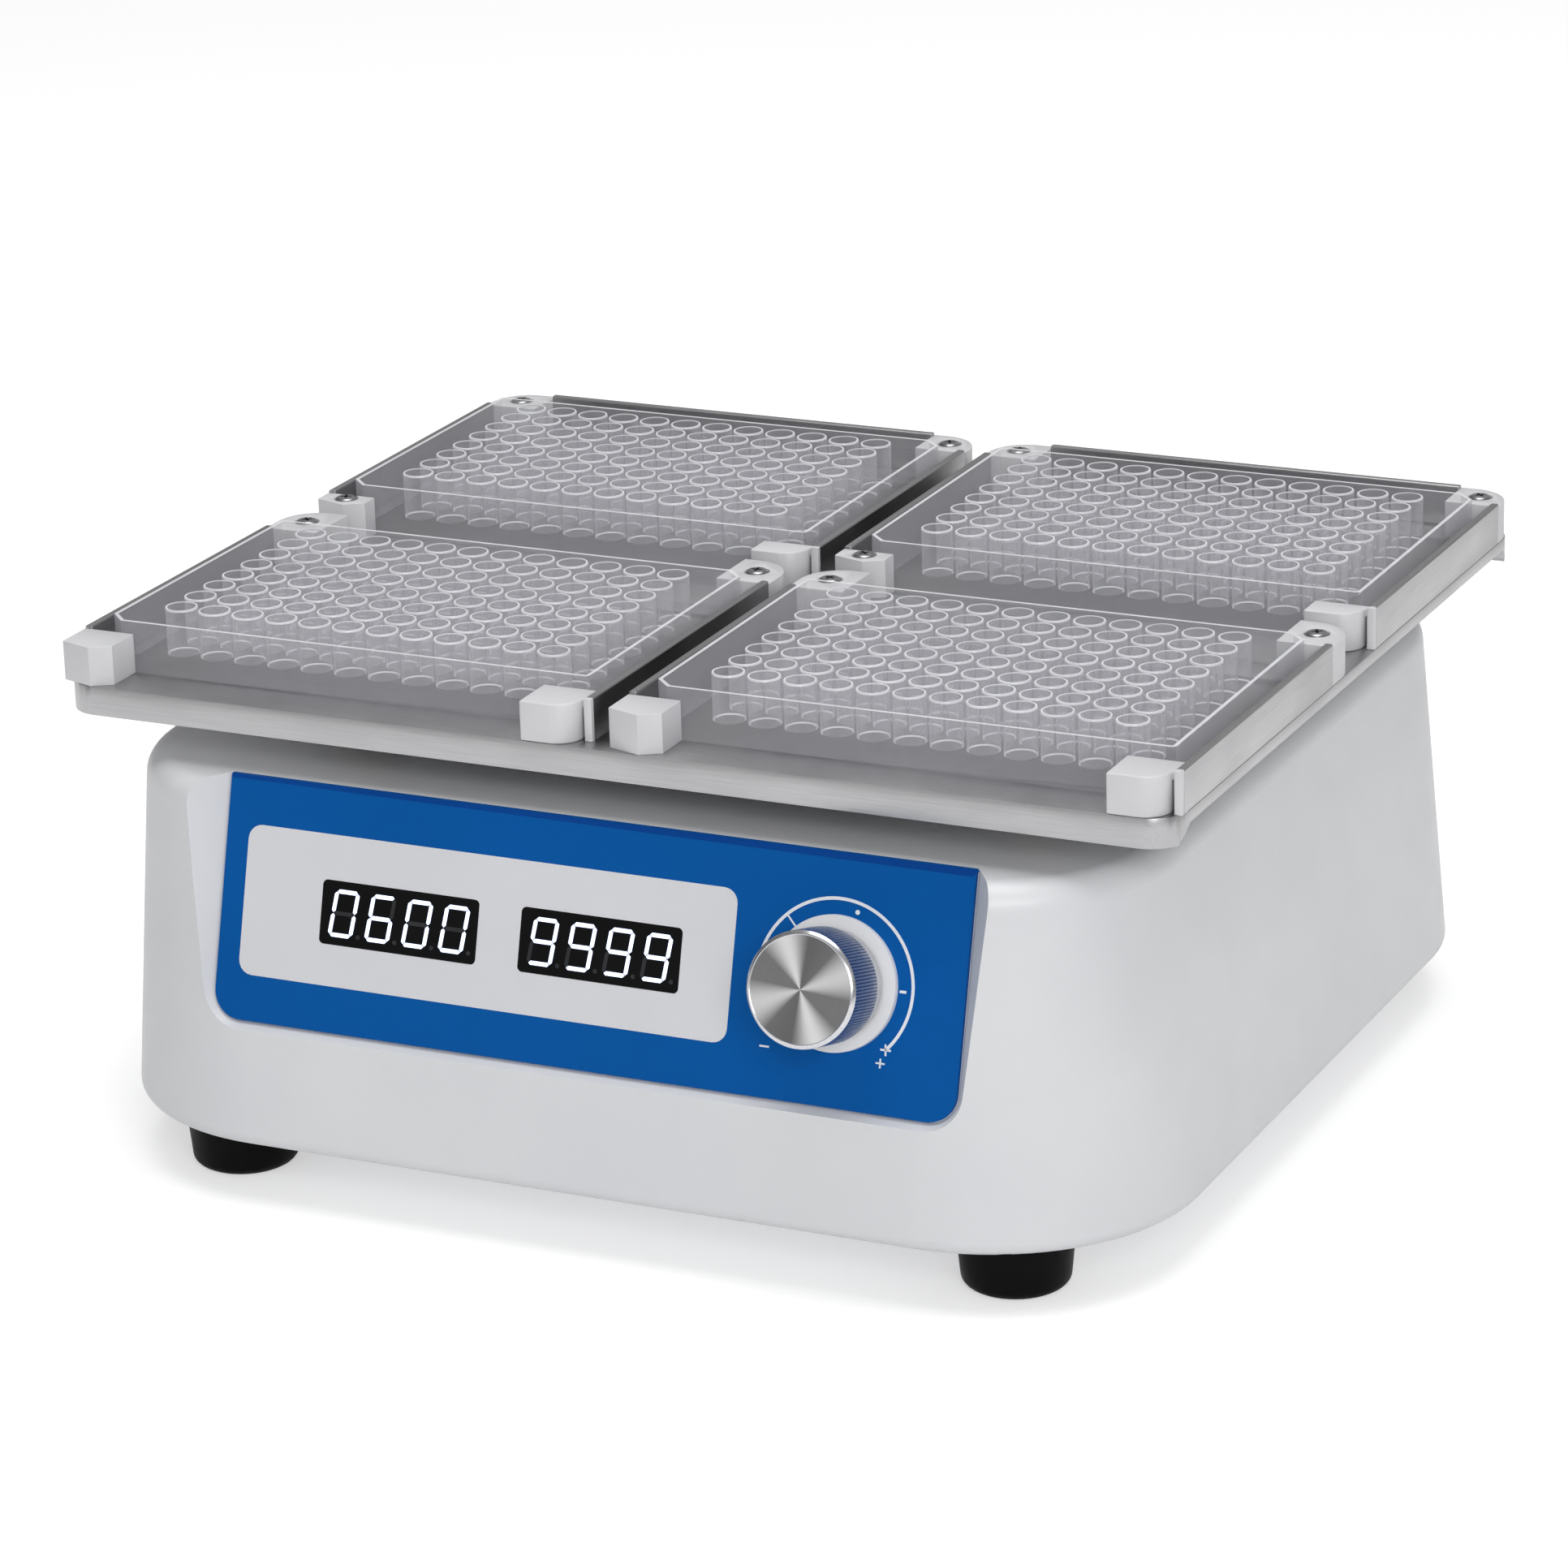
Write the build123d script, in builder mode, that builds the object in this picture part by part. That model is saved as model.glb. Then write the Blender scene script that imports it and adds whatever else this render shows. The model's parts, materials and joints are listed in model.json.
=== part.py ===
from build123d import *
from math import cos, radians, sin, tan
import os

# Microplate shaker for four plates. Millimetres. X runs to the right along the front, Y to the
# back and Z up. The origin is on the bench, under the middle of the outer box.

# Moulded housing
housing_width = 270
housing_depth = 262
housing_height = 85.5
housing_corner = 50
housing_draft = 4.5
housing_wall = 3
top_edge_round = 6
bottom_edge_round = 3
boss_radius = 4.5
boss_pilot_depth = 14
boss_inset_x = 22
boss_inset_y = 35
boss_shift_y = 12

# Feet and bottom plate
foot_height = 16
foot_radius = 14
foot_foot_radius = 12.5
foot_edge_break = 1.5
foot_recess_radius = 6
foot_recess_depth = 5
plate_recess = 1.5
bottom_plate_thickness = 2.5
bottom_plate_gap = 0.6
vent_count = 5
vent_pitch = 9
vent_length = 60
vent_width = 3
foot_spread_x = 200
foot_spread_y = 212

# Tilted control panel in its pocket
panel_tilt = 15.5
panel_width = 189
panel_foot_height = 29.9
pocket_foot_depth = 3
pocket_flare = 35
panel_corner = 7
panel_reach = 90
overlay_thickness = 1.2
seat_clearance = 0.15
window_width = 126
window_height = 35.3
window_centre_x = -25.6
window_centre_v = 28.6
window_corner = 3.5
display_width = 40.8
display_height = 15
display_depth = 9
display_centre_v = 28.2
speed_display_x = -47.6
time_display_x = 4.1
display_corner = 1.4
board_thickness = 1.6
board_reach = 42
board_margin = 2
standoff_radius = 2.6
display_sink = 0.2

# Knob and encoder
knob_x = 62.7
knob_v = 28.1
knob_radius = 13.3
knob_front = 20.2
knob_gap = 0.9
push_travel = 0.6
collar_radius = 15.5
collar_thickness = 1.5
encoder_shaft_radius = 3
encoder_bushing_radius = 3.5
encoder_body_size = 13
encoder_body_depth = 8
running_clearance = 0.05
hole_clearance = 0.15
knob_wall = 4
knob_relief_width = 1
knob_skirt_step = 0.7
knob_skirt_height = 3.6
knob_edge_break = 0.5
collar_edge_break = 0.4

# Orbital drive
orbit_radius = 1.5
drive_offset_y = 4.5
shaft_radius = 4
crank_boss_radius = 8
chassis_width = 220
chassis_depth = 180
chassis_thickness = 3
chassis_drop = 13
pillar_radius = 5
motor_radius = 30
motor_height = 40
motor_end_wall = 9
motor_shell = 3
motor_edge_break = 1.5
bearing_radius = 11
bearing_height = 7
stator_thickness = 8
stator_height = 20
rotor_radius = 17
rotor_height = 18
idler_spread_x = 170
idler_spread_y = 130
idler_journal_radius = 4
idler_web_radius = 6.5
idler_pin_radius = 3
idler_block_radius = 11
idler_block_height = 10
top_hole_clearance = 2.5
counterweight_radius = 34
counterweight_height = 7
counterweight_wall = 5
counterweight_cut = 4
chassis_corner = 12
bay_x = 66.7
bay_width = 30
bay_depth = 60
pillar_inset = 15

# Platform
platform_gap = 10.6
subframe_thickness = 3
subframe_width = 200
subframe_depth = 160
subframe_corner = 10
subframe_notch_width = 44
subframe_notch_depth = 34
tray_thickness = 2.85
tray_depth = 232
tray_corner = 9
lip_depth = 4.2
lip_width = 5
nest_pitch_x = 143.5
nest_pitch_y = 119.2
nest_recess = 0.8
nest_margin = 0.6
nest_split_offset = 4.2
nest_split_gap = 7.5
hub_radius = 20
bushing_radius = 7
hub_gap = 0.3

# Microplate, 96 wells
plate_length = 127.76
plate_width = 85.48
plate_height = 14.35
plate_flange_height = 13.1
plate_wall = 1.6
plate_deck = 1.4
plate_chamfer = 6
plate_corner = 3.2
well_pitch = 9
well_columns = 12
well_rows = 8
well_radius = 3.43
well_depth = 10.67
well_floor = 1.0
well_sides = 6
well_block_margin = 0.8

# Plate holders on the tray
rail_thickness = 2
rail_height = 10.3
rail_plate_gap = 3.2
rail_edge_break = 0.3
block_height = 9.6
block_width = 13.2
block_plate_gap = 0.8
block_nose_x = 8.4
block_nose_left = 2.6
block_nose_right = 3
block_round = 6
block_slit = 1
block_cap_thickness = 2
back_block_width = 14
back_block_round = 10
end_cap_thickness = 1.2
rail_setback = 4.5
screw_sink = 1.4
tray_screw_inset = 5.6

# Screws and mains parts
screw_radius = 1.5
screw_head_radius = 2.9
screw_head_height = 1.9
pilot_clearance = 0.2
rear_pocket_width = 104
rear_pocket_height = 36
rear_pocket_depth = 9
rear_pocket_x = 52
rear_pocket_z = 44
inlet_x = 74
inlet_flange_width = 50
inlet_flange_height = 24
inlet_flange_thickness = 2.5
inlet_body_width = 28
inlet_body_height = 20.5
inlet_depth = 20
inlet_cavity_width = 24
inlet_cavity_height = 16.5
inlet_cavity_depth = 17
inlet_pin_length = 11.5
inlet_screw_spread = 40
inlet_pin_width = 2
inlet_pin_height = 4
inlet_pin_offset_x = 7
inlet_pin_offset_z = 2
rocker_x = 32
rocker_frame_width = 15
rocker_frame_height = 21
rocker_frame_proud = 1.5
rocker_body_width = 13
rocker_body_height = 19
rocker_body_depth = 14
rocker_width = 9.6
rocker_half_height = 7
rocker_swing = 12
rocker_end_gap = 1.6
rocker_pin_radius = 1.2
rocker_pin_depth = 3
rocker_floor = 2
fuse_x = 12
fuse_radius = 5.5
fuse_cap_radius = 7.5
fuse_cap_thickness = 3
fuse_slot_width = 1.6
fuse_slot_depth = 1.2
fuse_body_depth = 24
supply_width = 50
supply_depth = 90
supply_height = 28
supply_shift_y = 10
drive_board_width = 54
drive_board_depth = 80
drive_board_inset = 5
drive_board_height = 6

os.makedirs("parts", exist_ok=True)


def save(piece, name):
    piece.part.label = name
    export_step(piece.part, f"parts/{name}.step")


def ring_of(centres, z):
    """The same height for a list of plan positions."""
    return [(x, y, z) for x, y in centres]


def corners(spread_x, spread_y, centre_x=0, centre_y=0):
    """The four corners of a rectangle, in plan."""
    return [
        (centre_x + side_x * spread_x / 2, centre_y + side_y * spread_y / 2)
        for side_x in (-1, 1)
        for side_y in (-1, 1)
    ]


# Levels
plate_bottom_z = foot_height
housing_bottom_z = plate_bottom_z - plate_recess
housing_top_z = housing_bottom_z + housing_height
ceiling_z = housing_top_z - housing_wall
floor_z = plate_bottom_z + bottom_plate_thickness
chassis_top_z = ceiling_z - chassis_drop
chassis_z = chassis_top_z - chassis_thickness
subframe_z = housing_top_z + platform_gap
tray_z = subframe_z + subframe_thickness
tray_top_z = tray_z + tray_thickness
nest_floor_z = tray_top_z - nest_recess
crank_top_z = housing_top_z + 2
pin_top_z = subframe_z - 0.6

# Panel directions: up the slope, and out of the panel towards the user
slope_y, slope_z = sin(radians(panel_tilt)), cos(radians(panel_tilt))
overlay_face = overlay_thickness

# The knob's rim is the foremost point, so it sets how far the housing stands back
draft_at_panel_foot = panel_foot_height * tan(radians(housing_draft))
knob_overhang = (
    knob_front * slope_z
    + knob_radius * slope_y
    - knob_v * slope_y
    - draft_at_panel_foot
    - pocket_foot_depth
)
front_y = (knob_overhang - housing_depth) / 2
middle_y = front_y + housing_depth / 2
back_y = front_y + housing_depth
drive_y = middle_y + drive_offset_y
tray_y = drive_y + orbit_radius

panel_plane = Plane(
    origin=(0, front_y + draft_at_panel_foot + pocket_foot_depth, housing_bottom_z + panel_foot_height),
    x_dir=(1, 0, 0),
    z_dir=(0, -slope_z, slope_y),
)
knob_plane = Plane(panel_plane.from_local_coords(Vector(knob_x, knob_v, 0)), (1, 0, 0), panel_plane.z_dir)

tray_width = nest_pitch_x + plate_length + 2 * (rail_plate_gap + rail_thickness)
places = ("front_left", "back_left", "front_right", "back_right")
foot_centres = corners(foot_spread_x, foot_spread_y, 0, middle_y)
pillar_centres = corners(chassis_width - 2 * pillar_inset, chassis_depth - 2 * pillar_inset, 0, drive_y)
idler_centres = corners(idler_spread_x, idler_spread_y, 0, drive_y)
idler_pin_centres = corners(idler_spread_x, idler_spread_y, 0, tray_y)
nest_centres = corners(nest_pitch_x, nest_pitch_y, 0, tray_y)
boss_centres = corners(
    housing_width - 2 * boss_inset_x, housing_depth - 2 * boss_inset_y, 0, middle_y + boss_shift_y
)

# Housing

with BuildPart() as cavity:
    with BuildSketch(Plane.XY.offset(housing_bottom_z)):
        with Locations((0, middle_y)):
            RectangleRounded(
                housing_width - 2 * housing_wall,
                housing_depth - 2 * housing_wall,
                housing_corner - housing_wall,
            )
    extrude(amount=housing_height - housing_wall, taper=housing_draft)
    split(bisect_by=panel_plane.offset(-housing_wall), keep=Keep.BOTTOM)
    with BuildSketch(Plane.XZ.offset(-back_y)):
        with Locations((rear_pocket_x, rear_pocket_z)):
            Rectangle(rear_pocket_width + 2 * housing_wall, rear_pocket_height + 2 * housing_wall)
    extrude(amount=rear_pocket_depth + housing_wall, mode=Mode.SUBTRACT)

with BuildPart() as housing_shell:
    with BuildSketch(Plane.XY.offset(housing_bottom_z)):
        with Locations((0, middle_y)):
            RectangleRounded(housing_width, housing_depth, housing_corner)
    extrude(amount=housing_height, taper=housing_draft)
    fillet(housing_shell.faces().sort_by(Axis.Z)[-1].edges(), radius=top_edge_round)
    fillet(housing_shell.faces().sort_by(Axis.Z)[0].edges(), radius=bottom_edge_round)
    # Pocket of the control panel, open at the top, with flared walls
    with BuildSketch(panel_plane):
        with Locations((0, panel_reach / 2)):
            RectangleRounded(panel_width, panel_reach, panel_corner)
    extrude(amount=2 * pocket_foot_depth + panel_reach / 4, taper=-pocket_flare, mode=Mode.SUBTRACT)
    # Pocket of the mains parts in the back
    with BuildSketch(Plane.XZ.offset(-back_y)):
        with Locations((rear_pocket_x, rear_pocket_z)):
            RectangleRounded(rear_pocket_width, rear_pocket_height, 3)
    extrude(amount=rear_pocket_depth, mode=Mode.SUBTRACT)
    add(cavity.part, mode=Mode.SUBTRACT)
    # Screw pillars moulded to the ceiling
    with BuildSketch(Plane.XY.offset(floor_z)):
        with Locations(*boss_centres):
            Circle(boss_radius)
    extrude(until=Until.NEXT)
    with Locations(*ring_of(boss_centres, floor_z)):
        Hole(screw_radius + pilot_clearance / 2, depth=boss_pilot_depth)
    # Openings for the displays and the encoder, through the sloping wall
    with BuildSketch(panel_plane):
        with Locations((speed_display_x, display_centre_v), (time_display_x, display_centre_v)):
            Rectangle(display_width + 2 * hole_clearance, display_height + 2 * hole_clearance)
        with Locations((knob_x, knob_v)):
            Circle(encoder_bushing_radius + hole_clearance)
    extrude(amount=-housing_wall - 1, mode=Mode.SUBTRACT)
    # Holes in the roof for the crank and the four idlers
    with Locations((0, drive_y, housing_top_z)):
        Hole(crank_boss_radius + top_hole_clearance, depth=housing_wall + 1)
    with Locations(*ring_of(idler_centres, housing_top_z)):
        Hole(idler_web_radius + top_hole_clearance, depth=housing_wall + 1)
    # Openings for the inlet, the power rocker and the fuse, through the back wall
    with BuildSketch(Plane.XZ.offset(rear_pocket_depth - back_y)):
        with Locations((inlet_x, rear_pocket_z)):
            Rectangle(inlet_body_width + 2 * hole_clearance, inlet_body_height + 2 * hole_clearance)
        with Locations((rocker_x, rear_pocket_z)):
            Rectangle(rocker_body_width + 2 * hole_clearance, rocker_body_height + 2 * hole_clearance)
        with Locations((fuse_x, rear_pocket_z)):
            Circle(fuse_radius + hole_clearance)
        with Locations(
            (inlet_x - inlet_screw_spread / 2, rear_pocket_z),
            (inlet_x + inlet_screw_spread / 2, rear_pocket_z),
        ):
            Circle(screw_radius + pilot_clearance / 2)
    extrude(amount=housing_wall + 1, both=True, mode=Mode.SUBTRACT)

save(housing_shell, "housing_shell")

with BuildPart() as bottom_plate:
    with BuildSketch(Plane.XY.offset(plate_bottom_z)):
        with Locations((0, middle_y)):
            RectangleRounded(
                housing_width - 2 * housing_wall - 2 * bottom_plate_gap,
                housing_depth - 2 * housing_wall - 2 * bottom_plate_gap,
                housing_corner - housing_wall - bottom_plate_gap,
            )
    extrude(amount=bottom_plate_thickness)
    with Locations(*ring_of(boss_centres, plate_bottom_z)):
        with Locations(Rotation(180, 0, 0)):
            CounterSinkHole(screw_radius + 0.2, screw_head_radius + 0.3, depth=bottom_plate_thickness)
    with Locations(*ring_of(foot_centres, floor_z)):
        Hole(screw_radius + 0.1, depth=bottom_plate_thickness)
    # Ventilation slots under the motor
    with BuildSketch(Plane.XY.offset(plate_bottom_z)):
        with Locations((0, drive_y)):
            with GridLocations(0, vent_pitch, 1, vent_count):
                SlotOverall(vent_length, vent_width)
    extrude(amount=bottom_plate_thickness, mode=Mode.SUBTRACT)

save(bottom_plate, "bottom_plate")

with BuildPart() as feet:
    with Locations(*ring_of(foot_centres, foot_height / 2)):
        Cone(foot_foot_radius, foot_radius, foot_height)
    chamfer(feet.edges().group_by(Axis.Z)[0], length=foot_edge_break)
    with Locations(*ring_of(foot_centres, 0)):
        with Locations(Rotation(180, 0, 0)):
            CounterBoreHole(screw_radius + 0.1, foot_recess_radius, foot_recess_depth, depth=foot_height)

save(feet, "feet")


def screws(centres, head_top_z, length, upright=True):
    """Round-headed screws, head up or head down, as separate solids of one part."""
    turn = Rotation(0, 0, 0) if upright else Rotation(180, 0, 0)
    with BuildPart() as group:
        with Locations(*[Location((x, y, head_top_z)) * Location(turn) for x, y in centres]):
            with Locations((0, 0, -screw_head_height / 2)):
                Cylinder(screw_head_radius, screw_head_height)
            with Locations((0, 0, -screw_head_height - length / 2)):
                Cylinder(screw_radius, length)
    return group


foot_screws = screws(
    foot_centres,
    foot_recess_depth - screw_head_height,
    foot_height - foot_recess_depth + bottom_plate_thickness,
    upright=False,
)
save(foot_screws, "foot_screws")

with BuildPart() as housing_screws:
    with Locations(*ring_of(boss_centres, plate_bottom_z + bottom_plate_thickness / 2 + 4.5)):
        Cylinder(screw_radius, bottom_plate_thickness + 9)
    with Locations(*ring_of(boss_centres, plate_bottom_z + screw_head_height / 2)):
        Cone(screw_head_radius, screw_radius, screw_head_height)

save(housing_screws, "housing_screws")

# Control panel

with BuildPart() as control_panel:
    with BuildSketch(panel_plane):
        with Locations((0, panel_reach / 2)):
            RectangleRounded(
                panel_width - 2 * seat_clearance, panel_reach - 2 * seat_clearance, panel_corner - seat_clearance
            )
        with Locations((window_centre_x, window_centre_v)):
            RectangleRounded(window_width, window_height, window_corner, mode=Mode.SUBTRACT)
        with Locations((knob_x, knob_v)):
            Circle(encoder_bushing_radius + hole_clearance, mode=Mode.SUBTRACT)
    extrude(amount=overlay_thickness)
    split(bisect_by=Plane.XY.offset(housing_top_z), keep=Keep.BOTTOM)

save(control_panel, "control_panel")

with BuildPart() as display_window:
    with BuildSketch(panel_plane):
        with Locations((window_centre_x, window_centre_v)):
            RectangleRounded(
                window_width - 2 * seat_clearance, window_height - 2 * seat_clearance, window_corner - seat_clearance
            )
        with Locations((speed_display_x, display_centre_v), (time_display_x, display_centre_v)):
            RectangleRounded(
                display_width + 2 * seat_clearance,
                display_height + 2 * seat_clearance,
                display_corner,
                mode=Mode.SUBTRACT,
            )
    extrude(amount=overlay_thickness)

save(display_window, "display_window")


def display_module(centre_x):
    """A four-digit display block, its face just under the window's face."""
    with BuildPart() as module:
        with BuildSketch(panel_plane.offset(overlay_thickness - display_sink)):
            with Locations((centre_x, display_centre_v)):
                RectangleRounded(display_width, display_height, display_corner)
        extrude(amount=-display_depth)
    return module


speed_display = display_module(speed_display_x)
save(speed_display, "speed_display")
time_display = display_module(time_display_x)
save(time_display, "time_display")

board_face = overlay_thickness - display_sink - display_depth
with BuildPart() as display_board:
    with BuildSketch(panel_plane.offset(board_face)):
        with Locations((window_centre_x + board_reach / 2 - 1, display_centre_v)):
            RectangleRounded(window_width + board_reach + board_margin, window_height - 2 * board_margin, 2)
        with Locations((knob_x, knob_v)):
            Rectangle(encoder_body_size + 1, encoder_body_size + 1, mode=Mode.SUBTRACT)
    extrude(amount=-board_thickness)

save(display_board, "display_board")

with BuildPart() as board_standoffs:
    with BuildSketch(panel_plane.offset(-housing_wall)):
        for standoff_x in (window_centre_x - window_width / 2 + 4, (speed_display_x + time_display_x) / 2):
            with Locations((standoff_x, display_centre_v)):
                Circle(standoff_radius)
        with Locations((knob_x - encoder_body_size - 4, display_centre_v)):
            Circle(standoff_radius)
    extrude(amount=board_face + housing_wall)

save(board_standoffs, "board_standoffs")

# Knob and encoder

with BuildPart() as knob_collar:
    with BuildSketch(knob_plane.offset(overlay_face)):
        Circle(collar_radius)
        Circle(encoder_bushing_radius + hole_clearance, mode=Mode.SUBTRACT)
    extrude(amount=collar_thickness)
    collar_rim = knob_collar.faces().sort_by(Axis(knob_plane.origin, knob_plane.z_dir))[-1].outer_wire()
    chamfer(collar_rim.edges(), length=collar_edge_break)

save(knob_collar, "knob_collar")

with BuildPart() as encoder_body:
    with BuildSketch(knob_plane.offset(-housing_wall)):
        Rectangle(encoder_body_size, encoder_body_size)
    extrude(amount=-encoder_body_depth)
    with BuildSketch(knob_plane.offset(-housing_wall)):
        Circle(encoder_bushing_radius)
    extrude(amount=housing_wall + overlay_face + collar_thickness)
    with BuildSketch(knob_plane.offset(overlay_face + collar_thickness)):
        Circle(encoder_shaft_radius + running_clearance)
    extrude(amount=-housing_wall - overlay_face - collar_thickness - encoder_body_depth + 1, mode=Mode.SUBTRACT)

save(encoder_body, "encoder_body")

shaft_end = -housing_wall - encoder_body_depth / 2
with BuildPart() as encoder_plunger:
    with BuildSketch(knob_plane.offset(shaft_end)):
        Circle(encoder_shaft_radius)
    extrude(amount=-encoder_body_depth / 2 + 1 + push_travel + 0.2)

save(encoder_plunger, "encoder_plunger")

with BuildPart() as encoder_shaft:
    with BuildSketch(knob_plane.offset(shaft_end)):
        Circle(encoder_shaft_radius)
    extrude(amount=knob_front - knob_wall - shaft_end)

save(encoder_shaft, "encoder_shaft")

knob_back = overlay_face + collar_thickness + knob_gap
with BuildPart() as control_knob:
    with BuildSketch(knob_plane.offset(knob_back)):
        Circle(knob_radius)
    extrude(amount=knob_front - knob_back)
    chamfer(control_knob.faces().sort_by(Axis(knob_plane.origin, knob_plane.z_dir))[-1].edges(), length=knob_edge_break)
    with BuildSketch(knob_plane.offset(knob_back)):
        Circle(encoder_shaft_radius)
    extrude(amount=knob_front - knob_wall - knob_back, mode=Mode.SUBTRACT)
    # Relief behind the knob, so that it clears the bushing when pressed
    with BuildSketch(knob_plane.offset(knob_back)):
        Circle(encoder_bushing_radius + knob_relief_width)
        Circle(encoder_shaft_radius, mode=Mode.SUBTRACT)
    extrude(amount=push_travel + 0.6, mode=Mode.SUBTRACT)
    with BuildSketch(knob_plane.offset(knob_back)):
        Circle(knob_radius + 1)
        Circle(knob_radius - knob_skirt_step, mode=Mode.SUBTRACT)
    extrude(amount=knob_skirt_height, mode=Mode.SUBTRACT)

save(control_knob, "control_knob")

# Drive inside the housing

with BuildPart() as chassis_plate:
    with BuildSketch(Plane.XY.offset(chassis_z)):
        with Locations((0, drive_y)):
            RectangleRounded(chassis_width, chassis_depth, chassis_corner)
            Circle(bearing_radius + 1, mode=Mode.SUBTRACT)
        with Locations(*pillar_centres):
            Circle(screw_radius + 0.1, mode=Mode.SUBTRACT)
        # Lightening windows either side of the motor
        with Locations((-bay_x, drive_y), (bay_x, drive_y)):
            RectangleRounded(bay_width, bay_depth, chassis_corner / 2, mode=Mode.SUBTRACT)
    extrude(amount=chassis_thickness)

save(chassis_plate, "chassis_plate")

with BuildPart() as chassis_pillars:
    with BuildSketch(Plane.XY.offset(floor_z)):
        with Locations(*pillar_centres):
            RegularPolygon(pillar_radius, 6)
            Circle(screw_radius, mode=Mode.SUBTRACT)
    extrude(amount=chassis_z - floor_z)

save(chassis_pillars, "chassis_pillars")

chassis_screws = screws(pillar_centres, chassis_top_z + screw_head_height, chassis_thickness + 6)
save(chassis_screws, "chassis_screws")

motor_z = chassis_z - motor_height
with BuildPart() as motor_can:
    with BuildSketch(Plane.XY.offset(motor_z)):
        with Locations((0, drive_y)):
            Circle(motor_radius)
    extrude(amount=motor_height)
    chamfer(motor_can.edges().group_by(Axis.Z)[0], length=motor_edge_break)
    with BuildSketch(Plane.XY.offset(motor_z + motor_end_wall)):
        with Locations((0, drive_y)):
            Circle(motor_radius - motor_shell)
    extrude(amount=motor_height - 2 * motor_end_wall, mode=Mode.SUBTRACT)
    with BuildSketch(Plane.XY.offset(motor_z + motor_end_wall - bearing_height)):
        with Locations((0, drive_y)):
            Circle(bearing_radius)
    extrude(amount=motor_height, mode=Mode.SUBTRACT)

save(motor_can, "motor_can")

with BuildPart() as motor_bearings:
    for bearing_z in (motor_z + motor_end_wall - bearing_height, chassis_z - motor_end_wall):
        with BuildSketch(Plane.XY.offset(bearing_z)):
            with Locations((0, drive_y)):
                Circle(bearing_radius)
                Circle(shaft_radius + running_clearance, mode=Mode.SUBTRACT)
        extrude(amount=bearing_height)

save(motor_bearings, "motor_bearings")

rotor_middle_z = motor_z + motor_height / 2
with BuildPart() as motor_stator:
    with BuildSketch(Plane.XY.offset(rotor_middle_z - stator_height / 2)):
        with Locations((0, drive_y)):
            Circle(motor_radius - motor_shell)
            Circle(motor_radius - motor_shell - stator_thickness, mode=Mode.SUBTRACT)
            with PolarLocations(motor_radius - motor_shell - stator_thickness, 12):
                Rectangle(8, 3, mode=Mode.SUBTRACT)
    extrude(amount=stator_height)

save(motor_stator, "motor_stator")

with BuildPart() as motor_rotor:
    with BuildSketch(Plane.XY.offset(rotor_middle_z - rotor_height / 2)):
        with Locations((0, drive_y)):
            Circle(rotor_radius)
            Circle(shaft_radius, mode=Mode.SUBTRACT)
    extrude(amount=rotor_height)

save(motor_rotor, "motor_rotor")

boss_z = chassis_top_z + 2
with BuildPart() as crank_shaft:
    with BuildSketch(Plane.XY.offset(motor_z + motor_end_wall - bearing_height)):
        with Locations((0, drive_y)):
            Circle(shaft_radius)
    extrude(amount=boss_z - motor_z - motor_end_wall + bearing_height)
    with BuildSketch(Plane.XY.offset(boss_z)):
        with Locations((0, drive_y)):
            Circle(crank_boss_radius)
    extrude(amount=crank_top_z - boss_z)
    with BuildSketch(Plane.XY.offset(crank_top_z)):
        with Locations((0, tray_y)):
            Circle(shaft_radius)
    extrude(amount=pin_top_z - crank_top_z)

save(crank_shaft, "crank_shaft")

with BuildPart() as counterweight:
    with BuildSketch(Plane.XY.offset(boss_z + 1)):
        with Locations((0, drive_y)):
            Circle(counterweight_radius)
            with Locations((0, counterweight_radius / 2 + counterweight_cut)):
                Rectangle(2 * counterweight_radius, counterweight_radius, mode=Mode.SUBTRACT)
            Circle(crank_boss_radius + counterweight_wall)
            Circle(crank_boss_radius, mode=Mode.SUBTRACT)
    extrude(amount=counterweight_height)

save(counterweight, "counterweight")

with BuildPart() as idler_blocks:
    with Locations(*ring_of(idler_centres, chassis_top_z + idler_block_height / 2)):
        Cylinder(idler_block_radius, idler_block_height)
        Cylinder(idler_journal_radius + running_clearance, idler_block_height, mode=Mode.SUBTRACT)

save(idler_blocks, "idler_blocks")

idler_web_z = chassis_top_z + idler_block_height + 0.2
for place, journal, pin in zip(places, idler_centres, idler_pin_centres):
    with BuildPart() as idler:
        with BuildSketch(Plane.XY.offset(chassis_top_z + 0.4)):
            with Locations(journal):
                Circle(idler_journal_radius)
        extrude(amount=idler_web_z - chassis_top_z - 0.4)
        with BuildSketch(Plane.XY.offset(idler_web_z)):
            with Locations(journal):
                Circle(idler_web_radius)
        extrude(amount=crank_top_z - idler_web_z)
        with BuildSketch(Plane.XY.offset(crank_top_z)):
            with Locations(pin):
                Circle(idler_pin_radius)
        extrude(amount=pin_top_z - crank_top_z)
    save(idler, f"idler_crank_{place}")

# Electrical parts

with BuildPart() as power_supply:
    with Locations((-bay_x, middle_y + supply_shift_y, floor_z + supply_height / 2)):
        Box(supply_width, supply_depth, supply_height)
    chamfer(power_supply.faces().sort_by(Axis.Z)[-1].edges(), length=1.5)

save(power_supply, "power_supply")

with BuildPart() as drive_board:
    with BuildSketch(Plane.XY.offset(floor_z)):
        with Locations((bay_x, middle_y)):
            with GridLocations(
                drive_board_width - 2 * drive_board_inset, drive_board_depth - 2 * drive_board_inset, 2, 2
            ):
                Circle(standoff_radius)
    extrude(amount=drive_board_height)
    with BuildSketch(Plane.XY.offset(floor_z + drive_board_height)):
        with Locations((bay_x, middle_y)):
            RectangleRounded(drive_board_width, drive_board_depth, board_margin)
    extrude(amount=board_thickness)

save(drive_board, "drive_board")

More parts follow.
